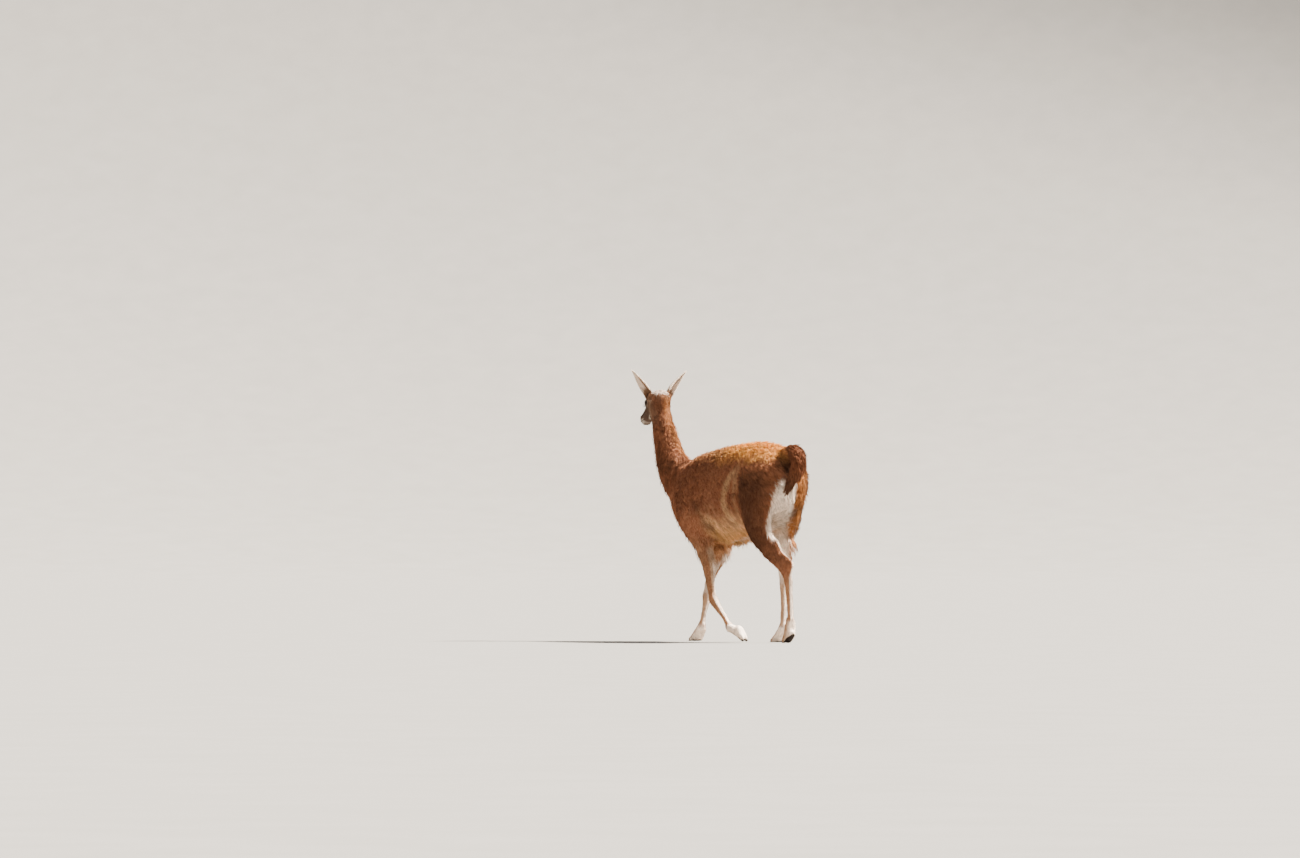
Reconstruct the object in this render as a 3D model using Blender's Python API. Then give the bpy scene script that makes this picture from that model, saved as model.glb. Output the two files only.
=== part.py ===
"""Life-size guanaco in mid-stride: one closed solid for each part of the body that a person would name.

The animal faces -Y and its left side is +X. Rows in the tables below start with (fore, left, up) in metres:
fore is counted forward from the root of the tail, left from the middle of the back and up from the floor.
The body is modelled whole, remeshed so that the forms flow into each other, and then parted with thin cuts.
"""

import math

import bmesh
import bpy
import numpy as np
from mathutils import Matrix, Vector
from mathutils.bvhtree import BVHTree

GAP = 0.0003
BODY_VOXEL = 0.006
HEAD_VOXEL = 0.0026
BODY_FACES = 3300
HEAD_FACES = 2000
SIDES = 24
# The exact solver loses some of the cuts through the coarse hair, so every cut and union is made with this one.
SOLVER = "MANIFOLD"

# Trunk rings: fore, top, bottom, half width, height of the widest line.
TRUNK = [
    (-0.066, 0.905, 0.820, 0.034, 0.865),
    (-0.052, 0.950, 0.765, 0.080, 0.862),
    (-0.026, 0.990, 0.715, 0.122, 0.860),
    (0.020, 1.026, 0.668, 0.162, 0.855),
    (0.100, 1.060, 0.615, 0.192, 0.840),
    (0.200, 1.075, 0.584, 0.200, 0.820),
    (0.320, 1.072, 0.560, 0.199, 0.800),
    (0.450, 1.060, 0.542, 0.200, 0.770),
    (0.580, 1.042, 0.525, 0.194, 0.750),
    (0.700, 1.022, 0.512, 0.175, 0.740),
    (0.790, 0.998, 0.525, 0.148, 0.745),
    (0.870, 0.955, 0.575, 0.120, 0.765),
    (0.945, 0.915, 0.645, 0.092, 0.790),
    (0.998, 0.885, 0.715, 0.064, 0.805),
]

# Tubes of the neck, tail and limbs: fore, left, up, half depth, half width.
NECK = [
    (0.780, 0.0, 0.800, 0.130, 0.100),
    (0.893, 0.0, 0.836, 0.140, 0.098),
    (0.992, 0.0, 0.892, 0.127, 0.088),
    (1.057, 0.0, 0.972, 0.105, 0.077),
    (1.100, 0.0, 1.070, 0.086, 0.068),
    (1.138, 0.0, 1.165, 0.075, 0.062),
    (1.160, 0.0, 1.250, 0.066, 0.058),
    (1.172, 0.0, 1.300, 0.056, 0.050),
    (1.184, 0.0, 1.330, 0.038, 0.036),
]
TAIL = [
    (0.045, 0.000, 0.975, 0.036, 0.038),
    (0.000, 0.000, 1.000, 0.038, 0.040),
    (-0.060, 0.000, 1.012, 0.038, 0.040),
    (-0.112, 0.006, 0.990, 0.037, 0.039),
    (-0.130, 0.018, 0.938, 0.033, 0.036),
    (-0.116, 0.036, 0.882, 0.026, 0.029),
    (-0.098, 0.052, 0.828, 0.017, 0.019),
    (-0.084, 0.062, 0.786, 0.008, 0.009),
]
FORELEG_LEFT = [
    (0.800, 0.085, 0.900, 0.050, 0.032),
    (0.775, 0.118, 0.800, 0.078, 0.044),
    (0.735, 0.132, 0.700, 0.080, 0.050),
    (0.675, 0.128, 0.620, 0.074, 0.051),
    (0.620, 0.117, 0.540, 0.060, 0.047),
    (0.588, 0.109, 0.470, 0.050, 0.041),
    (0.568, 0.102, 0.400, 0.041, 0.035),
    (0.558, 0.097, 0.320, 0.032, 0.029),
    (0.551, 0.093, 0.262, 0.028, 0.026),
    (0.541, 0.090, 0.228, 0.029, 0.028),
    (0.518, 0.087, 0.198, 0.0245, 0.0245),
    (0.470, 0.083, 0.152, 0.0195, 0.0195),
    (0.434, 0.079, 0.112, 0.0185, 0.0185),
    (0.404, 0.076, 0.072, 0.0230, 0.0230),
]
FORELEG_RIGHT = [
    (0.830, -0.085, 0.900, 0.050, 0.032),
    (0.838, -0.116, 0.800, 0.074, 0.044),
    (0.818, -0.130, 0.700, 0.078, 0.050),
    (0.766, -0.126, 0.615, 0.074, 0.051),
    (0.724, -0.114, 0.540, 0.060, 0.047),
    (0.748, -0.104, 0.470, 0.050, 0.041),
    (0.784, -0.093, 0.400, 0.040, 0.033),
    (0.812, -0.080, 0.332, 0.030, 0.027),
    (0.819, -0.071, 0.282, 0.027, 0.026),
    (0.818, -0.067, 0.253, 0.029, 0.029),
    (0.821, -0.063, 0.222, 0.025, 0.025),
    (0.829, -0.057, 0.172, 0.0190, 0.0190),
    (0.839, -0.052, 0.120, 0.0180, 0.0180),
    (0.848, -0.048, 0.070, 0.0230, 0.0230),
]
HINDLEG_LEFT = [
    (0.140, 0.080, 0.950, 0.060, 0.052),
    (0.125, 0.107, 0.870, 0.112, 0.066),
    (0.100, 0.124, 0.780, 0.132, 0.068),
    (0.090, 0.127, 0.705, 0.128, 0.062),
    (0.086, 0.123, 0.635, 0.113, 0.055),
    (0.058, 0.115, 0.565, 0.090, 0.046),
    (0.004, 0.107, 0.505, 0.066, 0.039),
    (-0.052, 0.099, 0.452, 0.050, 0.033),
    (-0.096, 0.093, 0.415, 0.042, 0.029),
    (-0.127, 0.090, 0.378, 0.038, 0.028),
    (-0.141, 0.088, 0.335, 0.029, 0.025),
    (-0.147, 0.086, 0.270, 0.0225, 0.0205),
    (-0.150, 0.083, 0.195, 0.0205, 0.0190),
    (-0.151, 0.081, 0.145, 0.0210, 0.0200),
    (-0.148, 0.080, 0.106, 0.0240, 0.0240),
]
HINDLEG_RIGHT = [
    (0.140, -0.080, 0.950, 0.060, 0.052),
    (0.140, -0.107, 0.870, 0.112, 0.066),
    (0.155, -0.125, 0.780, 0.132, 0.068),
    (0.182, -0.126, 0.700, 0.126, 0.061),
    (0.205, -0.121, 0.630, 0.108, 0.053),
    (0.209, -0.111, 0.560, 0.085, 0.045),
    (0.194, -0.102, 0.500, 0.064, 0.038),
    (0.171, -0.094, 0.450, 0.049, 0.032),
    (0.150, -0.088, 0.405, 0.041, 0.029),
    (0.137, -0.085, 0.365, 0.038, 0.028),
    (0.135, -0.082, 0.318, 0.029, 0.024),
    (0.130, -0.078, 0.250, 0.0220, 0.0200),
    (0.124, -0.073, 0.170, 0.0200, 0.0190),
    (0.120, -0.069, 0.110, 0.0205, 0.0200),
    (0.120, -0.067, 0.070, 0.0240, 0.0240),
]
# The point of each hock and the tendon above it.
HEEL_LEFT = [
    (-0.126, 0.090, 0.364, 0.022, 0.020),
    (-0.178, 0.090, 0.416, 0.018, 0.017),
    (-0.134, 0.092, 0.446, 0.028, 0.013),
    (-0.084, 0.097, 0.490, 0.034, 0.015),
    (-0.032, 0.104, 0.560, 0.036, 0.026),
]
HEEL_RIGHT = [
    (0.138, -0.085, 0.351, 0.022, 0.020),
    (0.082, -0.085, 0.405, 0.018, 0.017),
    (0.100, -0.087, 0.440, 0.040, 0.016),
    (0.114, -0.093, 0.490, 0.056, 0.020),
    (0.132, -0.101, 0.570, 0.068, 0.030),
]
# One toe, from the fetlock forward, with the foot flat: forward, aside, up, half depth, half width.
TOE = [
    (-0.006, 0.009, 0.004, 0.022, 0.019),
    (0.018, 0.0135, -0.024, 0.022, 0.0185),
    (0.042, 0.0165, -0.045, 0.021, 0.0180),
    (0.066, 0.0175, -0.0565, 0.0180, 0.0168),
    (0.086, 0.0168, -0.0625, 0.0130, 0.0130),
    (0.102, 0.0155, -0.0670, 0.0070, 0.0070),
]
PAD = ((0.042, 0.0, -0.0535), (0.041, 0.030, 0.0215))

# Feet: fetlock (fore, left, up), turn of the foot about its fetlock, and outward turn of the toes, in degrees.
FEET = {
    "forefoot_left": ((0.404, 0.076, 0.072), 112.0, 20.0),
    "forefoot_right": ((0.848, -0.048, 0.070), 0.0, 5.0),
    "hindfoot_left": ((-0.148, 0.080, 0.106), 36.0, 5.0),
    "hindfoot_right": ((0.120, -0.067, 0.070), 0.0, 6.0),
}

# Rows of hair under the body: tilt from straight down in degrees, fore of first and last lock, and how many.
BELLY_ROWS = [(30, 0.26, 0.62, 8), (52, 0.25, 0.57, 6), (9, 0.32, 0.72, 7)]
# How far to the side the rows of hair behind each thigh start.
THIGH_ROWS = (0.105, 0.150)

# Head, in its own frame: along the face, above the line of the face, and aside, from a point under the poll.
HEAD_AT = (1.152, 0.0, 1.318)
HEAD_PITCH = math.radians(24.0)
HEAD_YAW = math.radians(-12.0)
# Along, top, bottom, half width, height of the widest line.
SKULL = [
    (-0.055, -0.008, -0.032, 0.011, -0.020),
    (-0.049, 0.008, -0.048, 0.028, -0.018),
    (-0.036, 0.026, -0.060, 0.041, -0.016),
    (-0.012, 0.042, -0.074, 0.051, -0.012),
    (0.025, 0.051, -0.080, 0.055, -0.008),
    (0.060, 0.053, -0.083, 0.056, -0.002),
    (0.095, 0.047, -0.080, 0.053, 0.004),
    (0.130, 0.036, -0.071, 0.044, 0.000),
    (0.165, 0.027, -0.059, 0.035, -0.008),
    (0.200, 0.021, -0.051, 0.0305, -0.013),
    (0.230, 0.018, -0.047, 0.0290, -0.014),
    (0.255, 0.012, -0.042, 0.0275, -0.014),
    (0.272, 0.002, -0.033, 0.0215, -0.014),
]
# Soft forms added to the skull: centre (along, aside, above) and half sizes; aside is mirrored.
HEAD_FORMS = [
    ((0.042, 0.034, -0.042), (0.052, 0.023, 0.040)),
    ((0.094, 0.040, 0.024), (0.034, 0.015, 0.011)),
    ((0.122, 0.034, -0.012), (0.046, 0.013, 0.015)),
    ((0.040, 0.010, -0.088), (0.040, 0.028, 0.030)),
    ((0.250, 0.014, -0.004), (0.022, 0.014, 0.014)),
    ((0.262, 0.011, -0.020), (0.016, 0.013, 0.012)),
    ((0.240, 0.008, -0.040), (0.026, 0.016, 0.011)),
]
EYE_RADIUS = 0.0195
EYE_AT = (0.098, 0.0395, 0.008)
EYE_LIDS = 0.0225
EYE_OPENING = (0.0185, 0.0130)
EYE_LOOK = (0.36, 0.92, 0.12)
MOUTH = {"front": 0.300, "corner": 0.212, "height": -0.024, "gape": 0.0016, "depth": 0.0045}
NOSTRIL = ((0.2665, 0.0115, 0.0015), (0.0095, 0.0022, 0.0032))

EAR_BASE = (0.034, 0.054, 0.004)
EAR_TIP = (0.032, 0.1600, 0.146)
EAR_WIDTH = 0.049
EAR_SKIN = 0.0042
# Width of the ear along its length, as a share of its greatest width.
EAR_OUTLINE = [(0.0, 0.80), (0.14, 0.96), (0.32, 1.0), (0.54, 0.78), (0.74, 0.48), (0.90, 0.25), (1.0, 0.07)]
EAR_FACING = (-0.80, 0.60, 0.06)

# Colours of the coat and the bare parts, as the photograph shows them.
FAWN = (0.36, 0.155, 0.055, 1.0)
CREAM = (0.74, 0.62, 0.50, 1.0)
SLATE = (0.13, 0.095, 0.075, 1.0)
HORN = (0.045, 0.035, 0.030, 1.0)
EYE_BROWN = (0.012, 0.008, 0.006, 1.0)


def at(fore, left, up):
    return Vector((left, -fore, up))


def through(rows, steps):
    """Rows read from a smooth curve through the given ones, with this many steps between two of them."""
    rows = np.array(rows, float)
    padded = np.vstack([2 * rows[0] - rows[1], rows, 2 * rows[-1] - rows[-2]])
    smooth = []
    for i in range(1, len(rows)):
        a, b, c, d = padded[i - 1 : i + 3]
        for t in np.linspace(0, 1, steps, endpoint=False):
            smooth.append(0.5 * (2 * b + (c - a) * t + (2 * a - 5 * b + 4 * c - d) * t**2
                                 + (3 * b - a - 3 * c + d) * t**3))
    smooth.append(rows[-1])
    return np.array(smooth)


def mesh_object(name, points, faces):
    mesh = bpy.data.meshes.new(name)
    mesh.from_pydata([tuple(p) for p in points], [], faces)
    mesh.validate()
    made = bpy.data.objects.new(name, mesh)
    bpy.context.scene.collection.objects.link(made)
    return made


def skinned(name, rings):
    """One closed solid through rings of equally many points, with its faces pointing out."""
    count = len(rings[0])
    faces = [tuple(range(count))[::-1], tuple(range((len(rings) - 1) * count, len(rings) * count))]
    for i in range(len(rings) - 1):
        for j in range(count):
            k = (j + 1) % count
            faces.append((i * count + j, i * count + k, (i + 1) * count + k, (i + 1) * count + j))
    made = mesh_object(name, [p for ring in rings for p in ring], faces)
    face_out(made)
    return made


def face_out(made):
    work = bmesh.new()
    work.from_mesh(made.data)
    bmesh.ops.recalc_face_normals(work, faces=work.faces)
    if work.calc_volume(signed=True) < 0:
        bmesh.ops.reverse_faces(work, faces=work.faces)
    work.to_mesh(made.data)
    work.free()


def superellipse(angle, power):
    c, s = math.cos(angle), math.sin(angle)
    return math.copysign(abs(c) ** (2 / power), c), math.copysign(abs(s) ** (2 / power), s)


def barrel(name, rows, place, power=2.15):
    """A tube whose rings stand square to its first coordinate: along, top, bottom, half width, widest height."""
    rings = []
    for along, top, bottom, half, wide in through(rows, 3):
        ring = []
        for i in range(SIDES):
            across, rise = superellipse(math.tau * i / SIDES, power)
            reach = top - wide if rise > 0 else wide - bottom
            ring.append(place(along, half * across, wide + reach * rise))
        rings.append(ring)
    return skinned(name, rings)


def tube(name, rows, place=at):
    """A tube along rows of fore, left, up, half depth and half width, with each ring square to its line."""
    rows = through(rows, 3)
    centres = [place(*row[:3]) for row in rows]
    rings = []
    for i, row in enumerate(rows):
        line = (centres[min(i + 1, len(rows) - 1)] - centres[max(i - 1, 0)]).normalized()
        aside = (place(0, 1, 0) - place(0, 0, 0)).normalized()
        aside = (aside - line * aside.dot(line)).normalized()
        depth = line.cross(aside)
        rings.append([centres[i] + depth * (row[3] * math.sin(a)) + aside * (row[4] * math.cos(a))
                      for a in (math.tau * j / SIDES for j in range(SIDES))])
    return skinned(name, rings)


def ellipsoid(name, place, centre, half, detail=3):
    """An ellipsoid with its half sizes along the three directions of place."""
    work = bmesh.new()
    bmesh.ops.create_icosphere(work, subdivisions=detail, radius=1.0)
    for v in work.verts:
        v.co = place(*(c + h * x for c, h, x in zip(centre, half, v.co)))
    points, faces = [v.co.copy() for v in work.verts], [[v.index for v in f.verts] for f in work.faces]
    work.free()
    made = mesh_object(name, points, faces)
    face_out(made)
    return made


def apply_modifiers(made):
    graph = bpy.context.evaluated_depsgraph_get()
    mesh = bpy.data.meshes.new_from_object(made.evaluated_get(graph))
    made.modifiers.clear()
    made.data = mesh
    return made


def joined(name, objects):
    """The objects' meshes as one object; they are removed."""
    work = bmesh.new()
    for made in objects:
        work.from_mesh(made.data)
        bpy.data.objects.remove(made)
    mesh = bpy.data.meshes.new(name)
    work.to_mesh(mesh)
    work.free()
    made = bpy.data.objects.new(name, mesh)
    bpy.context.scene.collection.objects.link(made)
    return made


def largest(made):
    """Keeps only the largest closed surface of a mesh."""
    work = bmesh.new()
    work.from_mesh(made.data)
    unseen, bodies = set(work.verts), []
    while unseen:
        found, front = set(), [unseen.pop()]
        while front:
            v = front.pop()
            found.add(v)
            for e in v.link_edges:
                other = e.other_vert(v)
                if other in unseen:
                    unseen.discard(other)
                    front.append(other)
        bodies.append(found)
    keep = max(bodies, key=len)
    bmesh.ops.delete(work, geom=[v for v in work.verts if v not in keep], context="VERTS")
    work.to_mesh(made.data)
    work.free()
    return made


def fused(name, objects, voxel, smooth, faces):
    """The objects run together into one smooth closed surface of about this many triangles."""
    made = joined(name, objects)
    remesh = made.modifiers.new("remesh", "REMESH")
    remesh.mode, remesh.voxel_size = "VOXEL", voxel
    relax = made.modifiers.new("relax", "SMOOTH")
    relax.factor, relax.iterations = 0.5, smooth
    apply_modifiers(made)
    largest(made)
    thin = made.modifiers.new("thin", "DECIMATE")
    thin.ratio = faces / (2 * len(made.data.polygons))
    return apply_modifiers(made)


def boolean(made, other, operation):
    """Joins other to made or cuts it away, and removes other."""
    change = made.modifiers.new("change", "BOOLEAN")
    change.operation, change.solver, change.object = operation, SOLVER, other
    apply_modifiers(made)
    bpy.data.objects.remove(other)
    return made


def union(made, objects):
    """Joins a whole collection of closed solids to made."""
    group = bpy.data.collections.new("to_join")
    bpy.context.scene.collection.children.link(group)
    for piece in objects:
        for holder in list(piece.users_collection):
            holder.objects.unlink(piece)
        group.objects.link(piece)
    join = made.modifiers.new("join", "BOOLEAN")
    join.operation, join.solver = "UNION", SOLVER
    join.operand_type, join.collection = "COLLECTION", group
    apply_modifiers(made)
    for piece in list(group.objects):
        bpy.data.objects.remove(piece)
    bpy.data.collections.remove(group)
    return largest(made)


def copy_of(made, name):
    new = bpy.data.objects.new(name, made.data.copy())
    bpy.context.scene.collection.objects.link(new)
    return new


def grown(made, by):
    """A copy of a solid with its surface moved out."""
    new = copy_of(made, made.name + "_grown")
    push = new.modifiers.new("push", "DISPLACE")
    push.strength, push.mid_level = by, 0.0
    return apply_modifiers(new)


def region(planes, grow=0.0):
    """The convex block inside planes, each a point and a normal that points out of the block."""
    work = bmesh.new()
    bmesh.ops.create_cube(work, size=6.0)
    for point, normal in planes:
        normal = normal.normalized()
        cut = bmesh.ops.bisect_plane(work, geom=work.verts[:] + work.edges[:] + work.faces[:],
                                     plane_co=point + normal * grow, plane_no=normal, clear_outer=True)
        rim = [e for e in cut["geom_cut"] if isinstance(e, bmesh.types.BMEdge)]
        bmesh.ops.edgeloop_fill(work, edges=rim)
    mesh = bpy.data.meshes.new("region")
    work.to_mesh(mesh)
    work.free()
    made = bpy.data.objects.new("region", mesh)
    bpy.context.scene.collection.objects.link(made)
    face_out(made)
    return made


def part_off(whole, name, planes):
    """Cuts the block inside planes off the whole and returns it as a solid of its own, a thin gap away."""
    piece = boolean(copy_of(whole, name), region(planes), "INTERSECT")
    boolean(whole, region(planes, GAP), "DIFFERENCE")
    largest(whole)
    return largest(piece)


def block_round(centre, line, reach, length):
    """Planes of a square block that starts at centre and runs along line for this length."""
    line = line.normalized()
    aside = Vector((1, 0, 0))
    aside = (aside - line * aside.dot(line)).normalized()
    depth = line.cross(aside)
    return [(centre, -line), (centre + line * length, line), (centre + aside * reach, aside),
            (centre - aside * reach, -aside), (centre + depth * reach, depth), (centre - depth * reach, -depth)]


def head_place(along, aside, above):
    """From the head's own frame to the world."""
    fore = along * math.cos(HEAD_PITCH) + above * math.sin(HEAD_PITCH)
    rise = above * math.cos(HEAD_PITCH) - along * math.sin(HEAD_PITCH)
    return poll_place(fore, aside, rise)


def poll_place(fore, aside, rise):
    """From a level frame at the poll, turned with the head, to the world."""
    turned = (fore * math.cos(HEAD_YAW) - aside * math.sin(HEAD_YAW),
              fore * math.sin(HEAD_YAW) + aside * math.cos(HEAD_YAW))
    return at(HEAD_AT[0] + turned[0], HEAD_AT[1] + turned[1], HEAD_AT[2] + rise)


def foot_place(foot):
    """The frame of a foot: forward along its toes, aside and up, from its fetlock."""
    (fore, left, up), turn, toe_out = FEET[foot]
    turn, toe_out = math.radians(turn), math.radians(toe_out) * math.copysign(1, left)

    def place(forward, aside, rise):
        ahead = forward * math.cos(turn) + rise * math.sin(turn)
        raised = rise * math.cos(turn) - forward * math.sin(turn)
        return at(fore + ahead * math.cos(toe_out) - aside * math.sin(toe_out),
                  left + ahead * math.sin(toe_out) + aside * math.cos(toe_out), up + raised)

    return place


def foot_pieces(foot):
    place = foot_place(foot)
    pieces = [ellipsoid(foot + "_pad", place, *PAD)]
    for side in (-1, 1):
        rows = [(row[0], row[1] * side, *row[2:]) for row in TOE]
        pieces.append(tube(foot + "_toe", rows, place))
    return pieces


def eye_frame(side):
    """The eye's centre and the directions along the lids, up across them and out of the head."""
    centre = head_place(EYE_AT[0], EYE_AT[1] * side, EYE_AT[2])
    out = (head_place(EYE_LOOK[0], EYE_LOOK[1] * side, EYE_LOOK[2]) - head_place(0, 0, 0)).normalized()
    along = head_place(1, 0, -0.12) - head_place(0, 0, 0)
    along = (along - out * along.dot(out)).normalized()
    return centre, along, out.cross(along) * side, out


def eye_place(side):
    centre, along, up, out = eye_frame(side)
    return lambda a, b, c: centre + along * a + up * b + out * c


def head_whole():
    """Head and upper neck, finely meshed, with lids, lips, mouth and nostrils."""
    pieces = [barrel("skull", SKULL, head_place, 2.3), tube("throat", NECK[3:])]
    for centre, half in HEAD_FORMS:
        for side in (-1, 1):
            pieces.append(ellipsoid("form", head_place, (centre[0], centre[1] * side, centre[2]), half))
    for side in (-1, 1):
        pieces.append(ellipsoid("lids", eye_place(side), (0, 0, 0), (EYE_LIDS,) * 3))
        fore, aside, rise = EAR_BASE
        pieces.append(ellipsoid("ear_root", poll_place, (fore, aside * side, rise), (0.024, 0.015, 0.024)))
    head = fused("head", pieces, HEAD_VOXEL, 8, HEAD_FACES)
    for side in (-1, 1):
        place = eye_place(side)
        opening = (*EYE_OPENING, 0.03)
        boolean(head, ellipsoid("opening", place, (0, 0, EYE_RADIUS), opening, 2), "DIFFERENCE")
        boolean(head, ellipsoid("socket", place, (0, 0, 0), (EYE_RADIUS + GAP,) * 3), "DIFFERENCE")
        centre, half = NOSTRIL
        slit = ellipsoid("nostril", nostril_place(side), (0, 0, 0), half, 2)
        boolean(head, slit, "DIFFERENCE")
    boolean(head, mouth_cutter(), "DIFFERENCE")
    return largest(head)


def nostril_place(side):
    """The frame of a nostril slit, which slants down and inwards round the tip of the muzzle."""
    centre = NOSTRIL[0]

    def place(a, b, c):
        return head_place(centre[0] + 0.75 * a - 0.5 * b, (centre[1] + 0.55 * b + 0.45 * a) * side,
                          centre[2] + c - 0.35 * a)

    return place


def mouth_cutter():
    """A thin shell between the lips: a plate round the muzzle, less its own core."""
    half = MOUTH["gape"]

    def place(along, aside, above):
        droop = 0.010 * ((MOUTH["front"] - along) / (MOUTH["front"] - MOUTH["corner"])) ** 2
        return head_place(along, aside, above + MOUTH["height"] - droop)

    rings = []
    for i in range(9):
        along = MOUTH["corner"] + (MOUTH["front"] - MOUTH["corner"]) * i / 8
        thin = half * min(1.0, 0.25 + i / 3)
        rings.append([place(along, x, z) for x, z in ((-0.06, -thin), (0.06, -thin), (0.06, thin), (-0.06, thin))])
    plate = skinned("plate", rings)
    inset = MOUTH["depth"]
    core = [(row[0] - inset, row[1], row[2], max(row[3] - inset, 0.004), row[4]) for row in SKULL[5:]]
    return boolean(plate, barrel("core", core, head_place, 2.3), "DIFFERENCE")


def ear(side):
    """A pointed leaf rolled into a cup, closed at its root."""
    base, tip = poll_place(EAR_BASE[0], EAR_BASE[1] * side, EAR_BASE[2]), poll_place(
        EAR_TIP[0], EAR_TIP[1] * side, EAR_TIP[2])
    line = (tip - base).normalized()
    face = poll_place(EAR_FACING[0], EAR_FACING[1] * side, EAR_FACING[2]) - poll_place(0, 0, 0)
    face = (face - line * face.dot(line)).normalized()
    across = line.cross(face)
    rings, count, steps = [], 7, 11
    for i in range(steps + 1):
        t = i / steps
        width = EAR_WIDTH * float(np.interp(t, *zip(*EAR_OUTLINE)))
        half_arc = math.radians(112 - 40 * t**0.8)
        radius = 0.5 * width / math.sin(min(half_arc, math.pi / 2))
        skin = EAR_SKIN * (1 - 0.62 * t)
        bow = 0.004 * math.sin(math.pi * t)
        centre = base + line * ((tip - base).length * t) - face * (bow - radius * math.cos(half_arc) * 0.4)
        arc = [half_arc * (2 * j / (count - 1) - 1) for j in range(count)]
        outer = [centre + across * (radius * math.sin(a)) - face * (radius * math.cos(a)) for a in arc]
        inner = [centre + across * ((radius - skin) * math.sin(a) * 0.97) - face * ((radius - skin) * math.cos(a))
                 for a in arc]
        rings.append(outer + inner[::-1])
    return skinned("ear", rings)


def lock(root, normal, lie, length, width, thick, lift, sag):
    """A flat tapered lock: it leaves its root sunk in the body, lifts off a little and bends along its lie."""
    lie = (lie - normal * lie.dot(normal)).normalized()
    across = normal.cross(lie).normalized()
    rings, steps = [], 3
    for i in range(steps + 1):
        t = i / steps
        centre = root - normal * 0.009 * (1 - t) ** 2 + lie * (length * t)
        centre += normal * (lift * t) + Vector((0, 0, -sag * t * t))
        w, h = width * (1 - 0.86 * t**1.4), thick * (1 - 0.80 * t)
        rings.append([centre - across * w, centre - normal * h, centre + across * w, centre + normal * h])
    return skinned("lock", rings)


def surface_of(made):
    graph = bpy.context.evaluated_depsgraph_get()
    return BVHTree.FromObject(made, graph)


def belly_locks(body, draw):
    """The long hair that hangs in a fringe along the lower flanks and under the brisket."""
    tree, locks = surface_of(body), []
    for row, (tilt, start, end, count) in enumerate(BELLY_ROWS):
        for side in (-1, 1):
            for i in range(count):
                fore = start + (end - start) * (i + 0.5 * (row % 2)) / (count - 1) + draw.uniform(-0.006, 0.006)
                angle = math.radians(tilt) * side
                ray = Vector((-math.sin(angle), 0, math.cos(angle)))
                hit, normal, _, _ = tree.ray_cast(at(fore, 0, 0.74) - ray * 0.45, ray)
                if hit is None or hit.z < 0.48:
                    continue
                lie = Vector((0.05 * side, 0.9, -0.75))
                locks.append(lock(hit, normal, lie, draw.uniform(0.078, 0.096), draw.uniform(0.021, 0.026),
                                  0.0055, draw.uniform(0.010, 0.016), 0.026))
    return locks


def thigh_locks(body, draw):
    """The coarse hair down the back edge of each thigh."""
    tree, locks = surface_of(body), []
    for side in (-1, 1):
        for row, aside in enumerate(THIGH_ROWS):
            for i in range(8):
                up = 0.87 - 0.036 * i - 0.018 * row
                hit, normal, _, _ = tree.ray_cast(at(-0.60, side * (aside - 0.0020 * i), up), Vector((0, -1, 0)))
                if hit is None or hit.y < -0.25:
                    continue
                lie = Vector((0.22 * side, 0.22, -1.0))
                locks.append(lock(hit, normal, lie, draw.uniform(0.060, 0.076), draw.uniform(0.018, 0.023),
                                  0.0050, draw.uniform(0.008, 0.015), 0.002))
    return locks


def tail_locks(core, draw):
    """Locks all round the tail, in rings that overlap towards its tip."""
    tree, locks = surface_of(core), []
    rows = through(TAIL[1:], 2)
    for i in range(1, len(rows) - 1):
        centre = at(*rows[i][:3])
        line = (at(*rows[i + 1][:3]) - at(*rows[i - 1][:3])).normalized()
        aside = (Vector((1, 0, 0)) - line * line.x).normalized()
        depth = line.cross(aside)
        around = 3 if i < 8 else 2
        for j in range(around):
            angle = math.tau * (j + 0.5 * (i % 2)) / around + draw.uniform(-0.12, 0.12)
            out = depth * math.sin(angle) + aside * math.cos(angle)
            hit, normal, _, _ = tree.ray_cast(centre + out * 0.12, -out)
            if hit is None:
                continue
            length = draw.uniform(0.052, 0.066) * (1 - 0.03 * i)
            locks.append(lock(hit, normal, line, length, 0.0185 * (1 - 0.04 * i), 0.0055,
                              draw.uniform(0.002, 0.006), 0.003))
    return locks


def material(name, colour, roughness):
    made = bpy.data.materials.new(name)
    made.use_nodes = True
    shader = made.node_tree.nodes["Principled BSDF"]
    shader.inputs["Base Color"].default_value = colour
    shader.inputs["Roughness"].default_value = roughness
    shader.inputs["Metallic"].default_value = 0.0
    return made


def leg_axis(rows, index):
    return (at(*rows[index + 1][:3]) - at(*rows[index - 1][:3])).normalized()


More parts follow.
